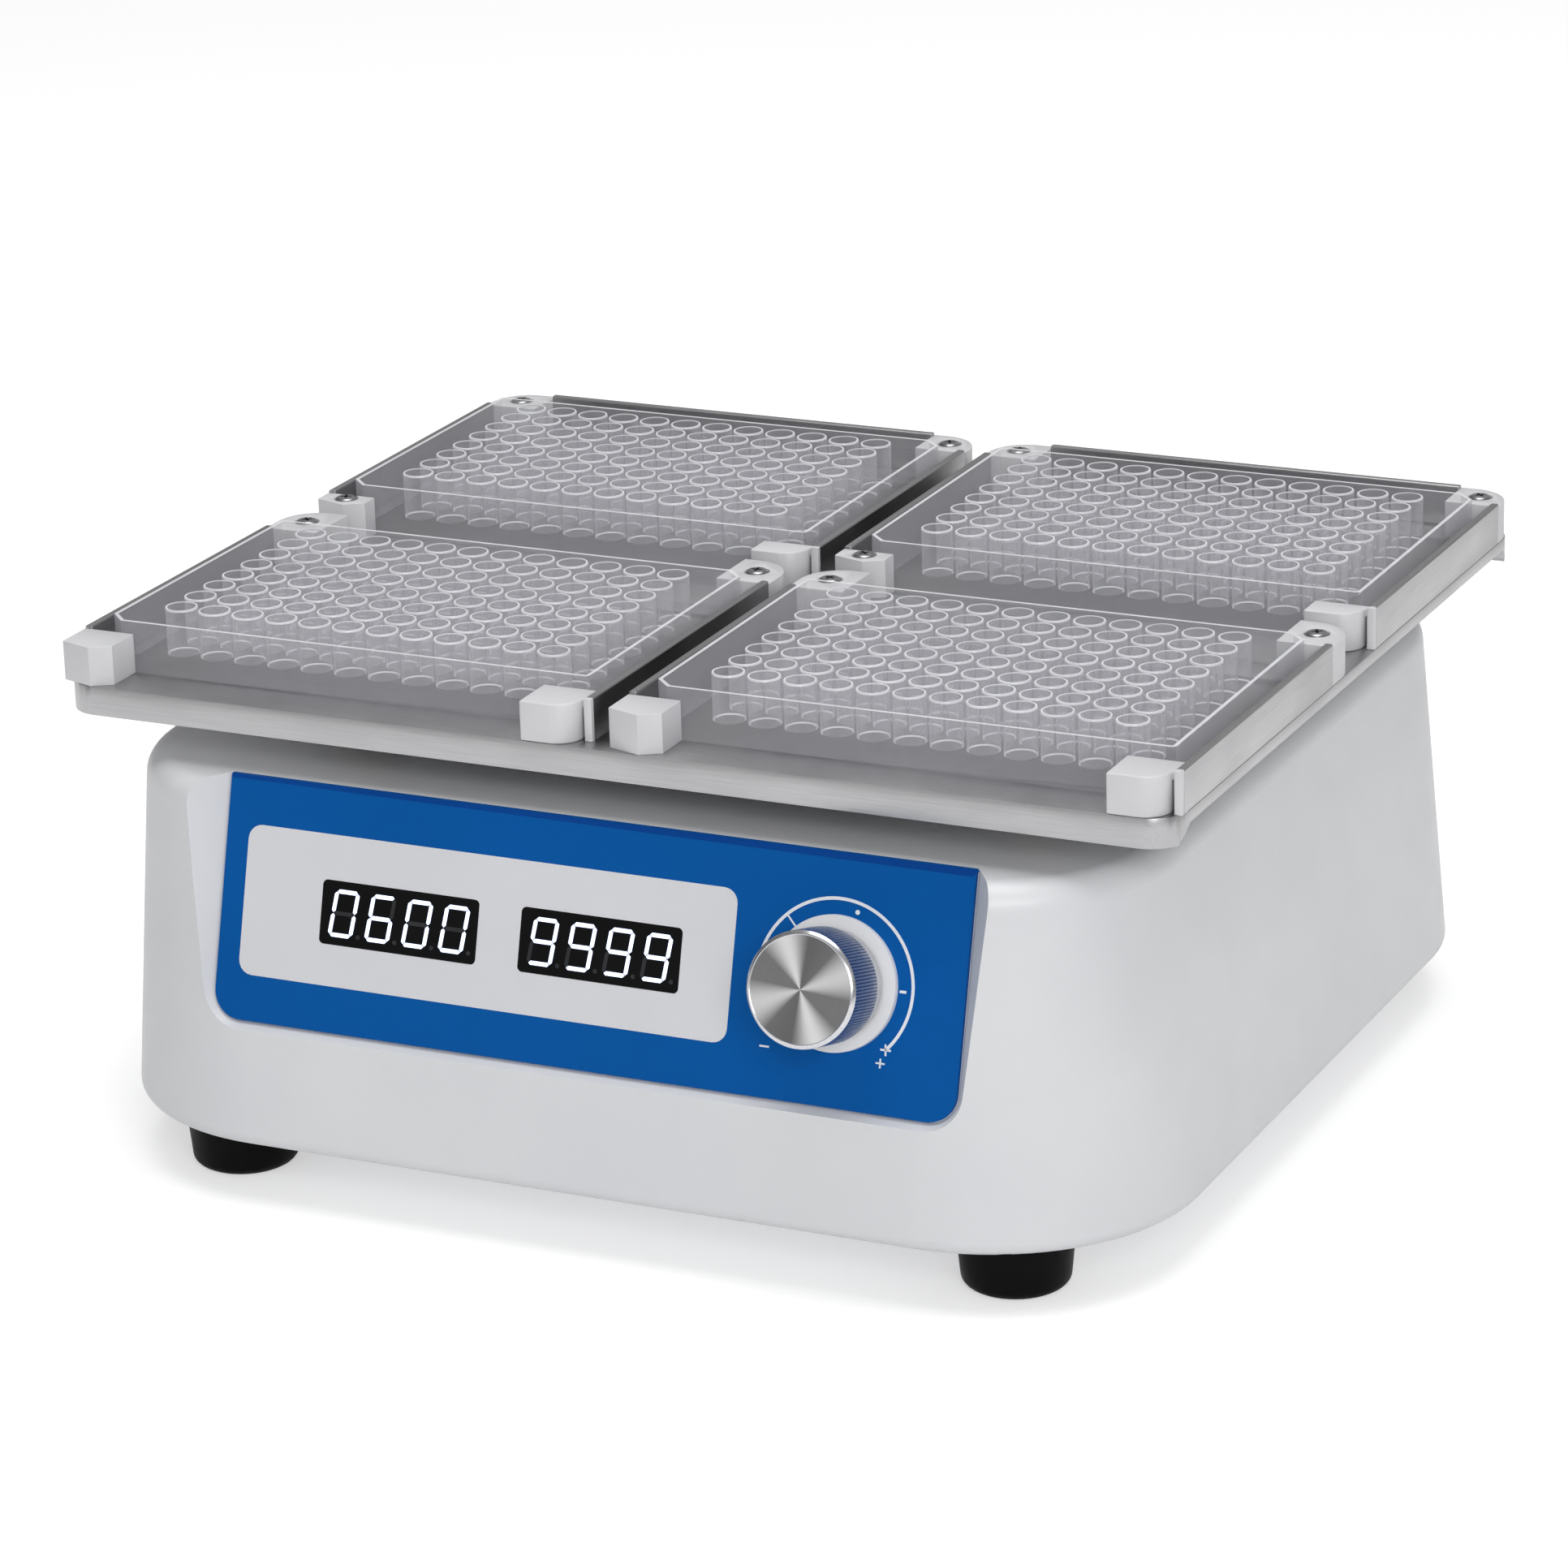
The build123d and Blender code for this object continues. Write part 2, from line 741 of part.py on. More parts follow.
back_wall = Plane(
    origin=(0, back_y - rear_pocket_depth, rear_pocket_z), x_dir=(-1, 0, 0), z_dir=(0, 1, 0)
)

with BuildPart() as power_inlet:
    with BuildSketch(back_wall):
        with Locations((-inlet_x, 0)):
            RectangleRounded(inlet_flange_width, inlet_flange_height, 4)
    extrude(amount=inlet_flange_thickness)
    with BuildSketch(back_wall):
        with Locations((-inlet_x, 0)):
            RectangleRounded(inlet_body_width, inlet_body_height, 2)
    extrude(amount=-inlet_depth)
    with BuildSketch(back_wall.offset(inlet_flange_thickness)):
        with Locations((-inlet_x, 0)):
            RectangleRounded(inlet_cavity_width, inlet_cavity_height, 2.5)
    extrude(amount=-inlet_cavity_depth, mode=Mode.SUBTRACT)
    with BuildSketch(back_wall):
        with Locations((-inlet_x - inlet_screw_spread / 2, 0), (-inlet_x + inlet_screw_spread / 2, 0)):
            Circle(screw_radius + pilot_clearance / 2)
    extrude(amount=inlet_flange_thickness, mode=Mode.SUBTRACT)

save(power_inlet, "power_inlet")

with BuildPart() as inlet_pins:
    with BuildSketch(back_wall.offset(inlet_flange_thickness - inlet_cavity_depth)):
        with Locations(
            (-inlet_x - inlet_pin_offset_x, -inlet_pin_offset_z),
            (-inlet_x + inlet_pin_offset_x, -inlet_pin_offset_z),
            (-inlet_x, inlet_pin_offset_z),
        ):
            Rectangle(inlet_pin_width, inlet_pin_height)
    extrude(amount=inlet_pin_length)

save(inlet_pins, "inlet_pins")

with BuildPart() as inlet_screws:
    with BuildSketch(back_wall.offset(inlet_flange_thickness)):
        with Locations((-inlet_x - inlet_screw_spread / 2, 0), (-inlet_x + inlet_screw_spread / 2, 0)):
            Circle(screw_head_radius)
    extrude(amount=screw_head_height)
    with BuildSketch(back_wall.offset(inlet_flange_thickness)):
        with Locations((-inlet_x - inlet_screw_spread / 2, 0), (-inlet_x + inlet_screw_spread / 2, 0)):
            Circle(screw_radius)
    extrude(amount=-inlet_flange_thickness - housing_wall)

save(inlet_screws, "inlet_screws")

rocker_cavity_depth = rocker_body_depth - rocker_floor
rocker_pin_y = back_y - rear_pocket_depth - rocker_pin_depth
with BuildPart() as rocker_frame:
    with BuildSketch(back_wall):
        with Locations((-rocker_x, 0)):
            RectangleRounded(rocker_frame_width, rocker_frame_height, 1)
    extrude(amount=rocker_frame_proud)
    with BuildSketch(back_wall):
        with Locations((-rocker_x, 0)):
            Rectangle(rocker_body_width, rocker_body_height)
    extrude(amount=-rocker_body_depth)
    with BuildSketch(back_wall.offset(rocker_frame_proud)):
        with Locations((-rocker_x, 0)):
            Rectangle(rocker_width + 0.6, 2 * (rocker_half_height + rocker_end_gap))
    extrude(amount=-rocker_frame_proud - rocker_cavity_depth, mode=Mode.SUBTRACT)
    # Pivot pin across the frame
    with BuildSketch(Plane.YZ.offset(rocker_x)):
        with Locations((rocker_pin_y, rear_pocket_z)):
            Circle(rocker_pin_radius)
    extrude(amount=rocker_body_width / 2 - 0.5, both=True)

save(rocker_frame, "rocker_frame")

# The rocker is off at rest, with its lower end pressed in
rocker_side = Plane(
    origin=(rocker_x, rocker_pin_y, rear_pocket_z),
    x_dir=(0, cos(radians(rocker_swing)), -sin(radians(rocker_swing))),
    z_dir=(1, 0, 0),
)
with BuildPart() as power_rocker:
    with BuildSketch(rocker_side):
        with BuildLine():
            Polyline(
                (-2.4, -2.4),
                (2, -rocker_half_height),
                (5.8, -rocker_half_height),
                (4, 0),
                (5.8, rocker_half_height),
                (2, rocker_half_height),
                (-2.4, 2.4),
                close=True,
            )
        make_face()
        Circle(rocker_pin_radius + running_clearance, mode=Mode.SUBTRACT)
    extrude(amount=rocker_width / 2, both=True)

save(power_rocker, "power_rocker")

with BuildPart() as fuse_holder:
    with BuildSketch(back_wall):
        with Locations((-fuse_x, 0)):
            Circle(fuse_cap_radius)
    extrude(amount=fuse_cap_thickness)
    with BuildSketch(back_wall.offset(fuse_cap_thickness)):
        with Locations((-fuse_x, 0)):
            Rectangle(2 * fuse_radius, fuse_slot_width)
    extrude(amount=-fuse_slot_depth, mode=Mode.SUBTRACT)
    with BuildSketch(back_wall):
        with Locations((-fuse_x, 0)):
            Circle(fuse_radius)
    extrude(amount=-fuse_body_depth)

save(fuse_holder, "fuse_holder")

# Platform

front_edge_y = tray_y - tray_depth / 2
rear_edge_y = tray_y + tray_depth / 2
split_y = tray_y + nest_split_offset
rail_inner = plate_length / 2 + rail_plate_gap
rail_outer = rail_inner + rail_thickness
block_top_z = tray_top_z + block_height

# Each nest: its middle in X, and where its front blocks and back blocks start and end in Y
nests = []
for nest_x, nest_y in nest_centres:
    in_front = nest_y < tray_y
    nests.append(
        (
            nest_x,
            front_edge_y if in_front else split_y + nest_split_gap / 2,
            nest_y - plate_width / 2 - block_plate_gap,
            nest_y + plate_width / 2 + block_plate_gap,
            split_y - nest_split_gap / 2 if in_front else rear_edge_y,
        )
    )

back_screw_centres = [
    (nest_x + side * (rail_outer - back_block_width / 2), (back_start + back_end) / 2)
    for nest_x, start_y, start_end, back_start, back_end in nests
    for side in (-1, 1)
]
front_screw_centres = [
    (nest_x - rail_outer + block_width / 2, (start_y + start_end + block_nose_left) / 2)
    for nest_x, start_y, start_end, back_start, back_end in nests
    if start_y > front_edge_y
]
block_screw_centres = back_screw_centres + front_screw_centres
tray_screw_centres = [
    (nest_x + plate_length / 2 - tray_screw_inset, nest_y - plate_width / 2 + tray_screw_inset)
    for nest_x, nest_y in nest_centres
]

lip_plane = Plane(origin=(0, tray_y, tray_z), x_dir=(0, 1, 0), z_dir=(1, 0, 0))
lip_end = tray_depth / 2 - lip_width
with BuildPart() as tray:
    with BuildSketch(Plane.XY.offset(tray_z - lip_depth)):
        with Locations((0, tray_y)):
            RectangleRounded(tray_width, tray_depth, tray_corner)
    extrude(amount=tray_thickness + lip_depth)
    # The lips stay along the front and the back, and run out round the corners
    with BuildSketch(lip_plane):
        Polygon(
            (-lip_end, -lip_depth - 1),
            (lip_end, -lip_depth - 1),
            (lip_end, -lip_depth + 0.5),
            (lip_end - lip_depth, 0),
            (-lip_end + lip_depth, 0),
            (-lip_end, -lip_depth + 0.5),
            align=None,
        )
    extrude(amount=tray_width, both=True, mode=Mode.SUBTRACT)
    with BuildSketch(Plane.XY.offset(tray_top_z)):
        with Locations(*nest_centres):
            RectangleRounded(plate_length + 2 * nest_margin, plate_width + 2 * nest_margin, plate_corner)
    extrude(amount=-nest_recess, mode=Mode.SUBTRACT)
    with BuildSketch(Plane.XY.offset(tray_z)):
        with Locations(*block_screw_centres, *tray_screw_centres):
            Circle(screw_radius + pilot_clearance / 2)
    extrude(amount=tray_thickness, mode=Mode.SUBTRACT)

save(tray, "tray")

with BuildPart() as subframe:
    with BuildSketch(Plane.XY.offset(subframe_z)):
        with Locations((0, tray_y)):
            RectangleRounded(subframe_width, subframe_depth, subframe_corner)
            with GridLocations(subframe_width / 2, subframe_depth / 2, 2, 2):
                RectangleRounded(subframe_notch_width, subframe_notch_depth, subframe_corner / 2, mode=Mode.SUBTRACT)
    extrude(amount=subframe_thickness)

save(subframe, "subframe")

hub_z = crank_top_z + hub_gap
with BuildPart() as platform_hub:
    with BuildSketch(Plane.XY.offset(hub_z)):
        with Locations((0, tray_y)):
            Circle(hub_radius)
            Circle(bearing_radius, mode=Mode.SUBTRACT)
    extrude(amount=subframe_z - hub_z)

save(platform_hub, "platform_hub")

with BuildPart() as hub_bearing:
    with BuildSketch(Plane.XY.offset(subframe_z - bearing_height)):
        with Locations((0, tray_y)):
            Circle(bearing_radius)
            Circle(shaft_radius + running_clearance, mode=Mode.SUBTRACT)
    extrude(amount=bearing_height)

save(hub_bearing, "hub_bearing")

with BuildPart() as platform_bushings:
    with BuildSketch(Plane.XY.offset(hub_z)):
        with Locations(*idler_pin_centres):
            Circle(bushing_radius)
            Circle(idler_pin_radius + running_clearance, mode=Mode.SUBTRACT)
    extrude(amount=subframe_z - hub_z)

save(platform_bushings, "platform_bushings")

# Plate holders

with BuildPart() as side_rails:
    for nest_x, start_y, start_end, back_start, back_end in nests:
        right_start = start_y + rail_setback + end_cap_thickness
        for rail_x, rail_start in ((nest_x - rail_outer, start_end), (nest_x + rail_inner, right_start)):
            with Locations((rail_x, rail_start, tray_top_z)):
                Box(
                    rail_thickness,
                    back_start - rail_start,
                    rail_height,
                    align=(Align.MIN, Align.MIN, Align.MIN),
                )
    chamfer(side_rails.edges().filter_by(Axis.Y).group_by(Axis.Z)[-1], length=rail_edge_break)

save(side_rails, "side_rails")

with BuildPart() as back_rails:
    for nest_x, start_y, start_end, back_start, back_end in nests:
        if start_y > front_edge_y:
            with Locations((nest_x, back_end, tray_top_z)):
                Box(
                    2 * (rail_outer - back_block_width),
                    rail_thickness,
                    rail_height,
                    align=(Align.CENTER, Align.MAX, Align.MIN),
                )
    chamfer(back_rails.edges().filter_by(Axis.X).group_by(Axis.Z)[-1], length=rail_edge_break)

save(back_rails, "back_rails")

with BuildPart() as rail_end_caps:
    for nest_x, start_y, start_end, back_start, back_end in nests:
        with Locations((nest_x + rail_inner, start_y + rail_setback, tray_top_z)):
            Box(
                rail_thickness,
                end_cap_thickness,
                rail_height,
                align=(Align.MIN, Align.MIN, Align.MIN),
            )

save(rail_end_caps, "rail_end_caps")

with BuildPart() as front_left_blocks:
    for nest_x, start_y, start_end, back_start, back_end in nests:
        with BuildSketch(Plane((nest_x - rail_outer, start_y, tray_top_z))):
            Polygon(
                (0, block_nose_left),
                (block_nose_x, 0),
                (block_width, block_nose_right),
                (block_width, start_end - start_y),
                (0, start_end - start_y),
                align=None,
            )
        extrude(amount=block_height)
    with Locations(*ring_of(front_screw_centres, block_top_z)):
        CounterBoreHole(
            screw_radius + pilot_clearance / 2, screw_head_radius + 0.2, screw_sink, depth=block_height
        )

save(front_left_blocks, "front_left_blocks")

with BuildPart() as front_right_blocks:
    for nest_x, start_y, start_end, back_start, back_end in nests:
        side_x = nest_x + rail_inner - block_slit
        with Locations((side_x, start_y, tray_top_z)):
            Box(
                block_width,
                start_end - start_y,
                block_height,
                align=(Align.MAX, Align.MIN, Align.MIN),
            )
        corner_edge = front_right_blocks.edges().filter_by(Axis.Z).sort_by_distance(
            (side_x, start_y, tray_top_z + block_height / 2)
        )[0]
        fillet(corner_edge, radius=block_round)
        # A lip along the top closes the slit beside the rail
        with Locations((nest_x + rail_inner, start_end, block_top_z)):
            Box(
                2 * block_slit,
                start_end - start_y - block_round,
                block_cap_thickness,
                align=(Align.MAX, Align.MAX, Align.MAX),
            )

save(front_right_blocks, "front_right_blocks")


def back_blocks(side):
    """The rounded blocks behind the four plates, on their left or right side."""
    with BuildPart() as blocks:
        for nest_x, start_y, start_end, back_start, back_end in nests:
            outer_x = nest_x + side * rail_outer
            with Locations((outer_x - side * back_block_width / 2, back_end, tray_top_z)):
                Box(
                    back_block_width,
                    back_end - back_start,
                    block_height,
                    align=(Align.CENTER, Align.MAX, Align.MIN),
                )
            corner_edge = blocks.edges().filter_by(Axis.Z).sort_by_distance(
                (outer_x, back_end, tray_top_z + block_height / 2)
            )[0]
            fillet(corner_edge, radius=back_block_round)
        own_screws = back_screw_centres[0::2] if side < 0 else back_screw_centres[1::2]
        with Locations(*ring_of(own_screws, block_top_z)):
            CounterBoreHole(
                screw_radius + pilot_clearance / 2, screw_head_radius + 0.2, screw_sink, depth=block_height
            )
    return blocks


back_left_blocks = back_blocks(-1)
save(back_left_blocks, "back_left_blocks")
back_right_blocks = back_blocks(1)
save(back_right_blocks, "back_right_blocks")

block_screws = screws(
    block_screw_centres,
    block_top_z - screw_sink + screw_head_height,
    block_height - screw_sink + tray_thickness,
)
save(block_screws, "block_screws")

tray_screws = screws(
    tray_screw_centres, nest_floor_z + screw_head_height, tray_thickness - nest_recess
)
save(tray_screws, "tray_screws")

# Microplates

with BuildSketch() as skirt:
    Rectangle(plate_length, plate_width)
    diagonal = skirt.vertices().sort_by(Axis((0, 0, 0), (1, 1, 0)))
    chamfer([diagonal[0], diagonal[-1]], length=plate_chamfer)
    square_corners = skirt.vertices().sort_by(Axis((0, 0, 0), (1, -1, 0)))
    fillet([square_corners[0], square_corners[-1]], radius=plate_corner)

with BuildSketch() as skirt_hollow:
    add(skirt.sketch)
    offset(amount=-plate_wall)

well_block_length = (well_columns - 1) * well_pitch + 2 * (well_radius + well_block_margin)
well_block_width = (well_rows - 1) * well_pitch + 2 * (well_radius + well_block_margin)
for place, (nest_x, nest_y) in zip(places, nest_centres):
    with BuildPart() as microplate:
        with BuildSketch(Plane((nest_x, nest_y, nest_floor_z))):
            add(skirt.sketch)
        extrude(amount=plate_flange_height)
        # Hollow under the deck, which leaves the skirt
        with BuildSketch(Plane((nest_x, nest_y, nest_floor_z))):
            add(skirt_hollow.sketch)
        extrude(amount=plate_flange_height - plate_deck, mode=Mode.SUBTRACT)
        # Block of wells, a little higher than the skirt
        with BuildSketch(Plane((nest_x, nest_y, nest_floor_z + plate_height))):
            RectangleRounded(well_block_length, well_block_width, well_radius + well_block_margin)
        extrude(amount=-well_depth - well_floor)
        with BuildSketch(Plane((nest_x, nest_y, nest_floor_z + plate_height))):
            with GridLocations(well_pitch, well_pitch, well_columns, well_rows):
                RegularPolygon(well_radius, well_sides)
        extrude(amount=-well_depth, mode=Mode.SUBTRACT)
    save(microplate, f"microplate_{place}")
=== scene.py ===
import json
import math

import bmesh
import bpy
from mathutils import Matrix, Vector

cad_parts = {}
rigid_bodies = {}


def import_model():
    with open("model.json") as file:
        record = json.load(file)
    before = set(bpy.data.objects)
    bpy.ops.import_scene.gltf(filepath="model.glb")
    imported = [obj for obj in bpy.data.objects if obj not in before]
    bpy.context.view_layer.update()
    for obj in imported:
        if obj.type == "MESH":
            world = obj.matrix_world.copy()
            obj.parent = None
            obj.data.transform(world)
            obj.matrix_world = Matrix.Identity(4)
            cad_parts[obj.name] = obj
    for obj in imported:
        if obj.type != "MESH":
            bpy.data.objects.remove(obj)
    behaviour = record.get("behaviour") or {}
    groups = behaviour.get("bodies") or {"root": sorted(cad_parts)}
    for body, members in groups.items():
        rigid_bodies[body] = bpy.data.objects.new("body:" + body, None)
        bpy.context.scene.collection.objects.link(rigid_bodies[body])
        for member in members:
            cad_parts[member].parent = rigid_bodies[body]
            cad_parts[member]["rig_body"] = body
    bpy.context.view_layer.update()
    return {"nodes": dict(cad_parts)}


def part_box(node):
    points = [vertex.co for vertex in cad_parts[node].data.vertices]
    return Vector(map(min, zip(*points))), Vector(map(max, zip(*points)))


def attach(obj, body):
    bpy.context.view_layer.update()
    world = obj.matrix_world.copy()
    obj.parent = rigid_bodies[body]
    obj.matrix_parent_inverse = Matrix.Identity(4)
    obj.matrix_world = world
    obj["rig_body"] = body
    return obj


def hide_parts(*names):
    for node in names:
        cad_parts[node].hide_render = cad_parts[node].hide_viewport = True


# Looks of a four-plate microplate shaker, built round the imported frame. Metres, Z up.

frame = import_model()
nodes = frame["nodes"]

mm = 0.001
places = ("front_left", "back_left", "front_right", "back_right")

# The panel leans back; u runs to the right, v up the slope and w out of the panel
lean = math.radians(15.5)
panel_foot = Vector((0, -0.120568, 0.0444))
panel_frame = Matrix(
    (
        (1, 0, 0, panel_foot.x),
        (0, math.sin(lean), -math.cos(lean), panel_foot.y),
        (0, math.cos(lean), math.sin(lean), panel_foot.z),
        (0, 0, 0, 1),
    )
)
panel_turn = (math.pi / 2 - lean, 0, 0)
panel_skin = 1.2 * mm
knob_u, knob_v = 62.7 * mm, 28.1 * mm
knob_place = panel_frame @ Matrix.Translation((knob_u, knob_v, 0))
knob_teeth = 110
# Number and starting angle of the painted highlight rays on the knob face
painted_ray_count, painted_ray_start = 4, 94


# Colours and materials


def shade(red, green, blue):
    """A colour as seen on screen, 0 to 255, as linear light."""
    linear = []
    for part in (red, green, blue):
        part = part / 255
        linear.append(part / 12.92 if part <= 0.04045 else ((part + 0.055) / 1.055) ** 2.4)
    return (*linear, 1)


class Finish:
    """A node material on object coordinates, with short calls to add nodes."""

    def __init__(self, name):
        self.material = bpy.data.materials.new(name)
        self.material.use_nodes = True
        self.tree = self.material.node_tree
        self.shader = self.tree.nodes["Principled BSDF"]
        self.output = self.tree.nodes["Material Output"]
        self.place = self.add("ShaderNodeTexCoord").outputs["Object"]

    def add(self, kind, **values):
        node = self.tree.nodes.new(kind)
        for key, value in values.items():
            setattr(node, key, value)
        return node

    def link(self, start, end):
        self.tree.links.new(start, end)

    def mapped(self, scale=(1, 1, 1), location=(0, 0, 0), rotation=(0, 0, 0)):
        node = self.add("ShaderNodeMapping", vector_type="TEXTURE")
        node.inputs["Scale"].default_value = scale
        node.inputs["Location"].default_value = location
        node.inputs["Rotation"].default_value = rotation
        self.link(self.place, node.inputs["Vector"])
        return node.outputs["Vector"]

    def noise(self, size, detail=3, vector=None):
        node = self.add("ShaderNodeTexNoise")
        node.inputs["Scale"].default_value = 1 / size
        node.inputs["Detail"].default_value = detail
        self.link(vector or self.place, node.inputs["Vector"])
        return node.outputs["Fac"]

    def spread(self, value, low, high, start=0.3, end=0.7):
        node = self.add("ShaderNodeMapRange")
        for key, number in (("From Min", start), ("From Max", end), ("To Min", low), ("To Max", high)):
            node.inputs[key].default_value = number
        self.link(value, node.inputs["Value"])
        return node.outputs["Result"]

    def tint(self, value, first, second, start=0.3, end=0.7):
        node = self.add("ShaderNodeMix", data_type="RGBA")
        node.inputs[6].default_value = first
        node.inputs[7].default_value = second
        self.link(self.spread(value, 0, 1, start, end), node.inputs[0])
        return node.outputs[2]

    def relief(self, value, height, strength=1.0):
        node = self.add("ShaderNodeBump")
        node.inputs["Strength"].default_value = strength
        node.inputs["Distance"].default_value = height
        self.link(value, node.inputs["Height"])
        self.link(node.outputs["Normal"], self.shader.inputs["Normal"])

    def set(self, **values):
        for key, value in values.items():
            self.shader.inputs[key.replace("_", " ")].default_value = value


def moulded(name, colour, darker, rough=(0.32, 0.42), grain=0.5 * mm, height=0.006 * mm, gloss=0.5):
    """Moulded or painted plastic, with a fine skin and slight unevenness."""
    f = Finish(name)
    f.link(f.tint(f.noise(40 * mm), colour, darker), f.shader.inputs["Base Color"])
    f.link(f.spread(f.noise(12 * mm), *rough), f.shader.inputs["Roughness"])
    f.relief(f.noise(grain), height)
    f.set(Specular_IOR_Level=gloss)
    return f.material


def brushed(name, colour, darker, along=(60, 1, 1), rough=(0.28, 0.42), line=0.25 * mm, height=0.004 * mm):
    """Metal with brushing lines that run the long way of the scale."""
    f = Finish(name)
    f.set(Metallic=1.0)
    lines = f.noise(line, 4, f.mapped(scale=along))
    f.link(f.tint(lines, colour, darker, 0.25, 0.75), f.shader.inputs["Base Color"])
    f.link(f.spread(f.noise(25 * mm, 2), *rough), f.shader.inputs["Roughness"])
    f.relief(lines, height)
    return f.material


def plain_metal(name, colour, darker, rough=(0.25, 0.4)):
    return brushed(name, colour, darker, (1, 1, 1), rough, 1.2 * mm, 0.003 * mm)


def clear_plastic(name, body, see, edge, glow):
    """Thin clear polystyrene: it shows what is behind it, and whitens where it is seen edge on."""
    f = Finish(name)
    f.link(f.tint(f.noise(9 * mm), body, shade(228, 228, 233)), f.shader.inputs["Base Color"])
    f.link(f.spread(f.noise(4 * mm), 0.06, 0.14), f.shader.inputs["Roughness"])
    facing = f.add("ShaderNodeLayerWeight")
    facing.inputs["Blend"].default_value = edge
    amount = f.spread(facing.outputs["Facing"], see, glow, 0.0, 1.0)
    clear = f.add("ShaderNodeBsdfTransparent")
    mix = f.add("ShaderNodeMixShader")
    f.link(amount, mix.inputs[0])
    f.link(clear.outputs[0], mix.inputs[1])
    f.link(f.shader.outputs[0], mix.inputs[2])
    f.link(mix.outputs[0], f.output.inputs["Surface"])
    return f.material


def lit(name, colour, strength, base):
    """A lit segment of the display, a little uneven across its face."""
    f = Finish(name)
    f.link(f.tint(f.noise(0.6 * mm), colour, base), f.shader.inputs["Emission Color"])
    f.set(Base_Color=base, Emission_Strength=strength, Roughness=0.3)
    return f.material


def spun_metal():
    """Knob face: turned rings, with light and dark rays painted into the colour by angle round the face: a painted
    highlight over a darker painted shade.
    """
    f = Finish("knob_face_metal")
    f.set(Metallic=1.0, Anisotropic=0.85, Roughness=0.3)
    tangent = f.add("ShaderNodeTangent", direction_type="UV_MAP", uv_map="round")
    f.link(tangent.outputs[0], f.shader.inputs["Tangent"])
    turned = f.add("ShaderNodeUVMap", uv_map="round")
    apart = f.add("ShaderNodeSeparateXYZ")
    f.link(turned.outputs[0], apart.inputs[0])
    rings = f.add("ShaderNodeTexNoise", noise_dimensions="1D")
    rings.inputs["Scale"].default_value = 90
    f.link(apart.outputs[1], rings.inputs["W"])
    # Painted highlight and shade: the colour turns near white in rays by angle round the face
    fan = f.add("ShaderNodeMath", operation="MULTIPLY_ADD")
    fan.inputs[1].default_value = painted_ray_count * math.tau
    fan.inputs[2].default_value = -math.radians(painted_ray_start)
    f.link(apart.outputs[0], fan.inputs[0])
    painted_ray_wave = f.add("ShaderNodeMath", operation="COSINE")
    f.link(fan.outputs[0], painted_ray_wave.inputs[0])
    dull = f.tint(rings.outputs["Fac"], shade(150, 150, 151), shade(136, 136, 138))
    bright = f.add("ShaderNodeMix", data_type="RGBA")
    bright.inputs[7].default_value = shade(250, 250, 250)
    f.link(f.spread(painted_ray_wave.outputs[0], 0, 1, -0.4, 1), bright.inputs[0])
    f.link(dull, bright.inputs[6])
    f.link(bright.outputs[2], f.shader.inputs["Base Color"])
    return f.material


def knurled():
    """Knob side: fine straight teeth along the axis, painted darker in the grooves and lighter on the crests as
    painted shade and painted highlight.
    """
    f = Finish("knob_side_metal")
    f.set(Metallic=1.0)
    place = f.mapped(location=tuple(panel_frame @ Vector((knob_u, knob_v, 0))), rotation=panel_turn)
    apart = f.add("ShaderNodeSeparateXYZ")
    f.link(place, apart.inputs[0])
    angle = f.add("ShaderNodeMath", operation="ARCTAN2")
    f.link(apart.outputs[1], angle.inputs[0])
    f.link(apart.outputs[0], angle.inputs[1])
    teeth = f.add("ShaderNodeMath", operation="MULTIPLY")
    teeth.inputs[1].default_value = knob_teeth
    f.link(angle.outputs[0], teeth.inputs[0])
    wave = f.add("ShaderNodeMath", operation="SINE")
    f.link(teeth.outputs[0], wave.inputs[0])
    # Painted shade in the grooves and painted highlight on the crests of the teeth
    f.link(f.tint(wave.outputs[0], shade(84, 92, 112), shade(190, 196, 208), -1, 1), f.shader.inputs["Base Color"])
    f.link(f.spread(f.noise(3 * mm), 0.25, 0.4), f.shader.inputs["Roughness"])
    f.relief(wave.outputs[0], 0.05 * mm, 0.8)
    return f.material


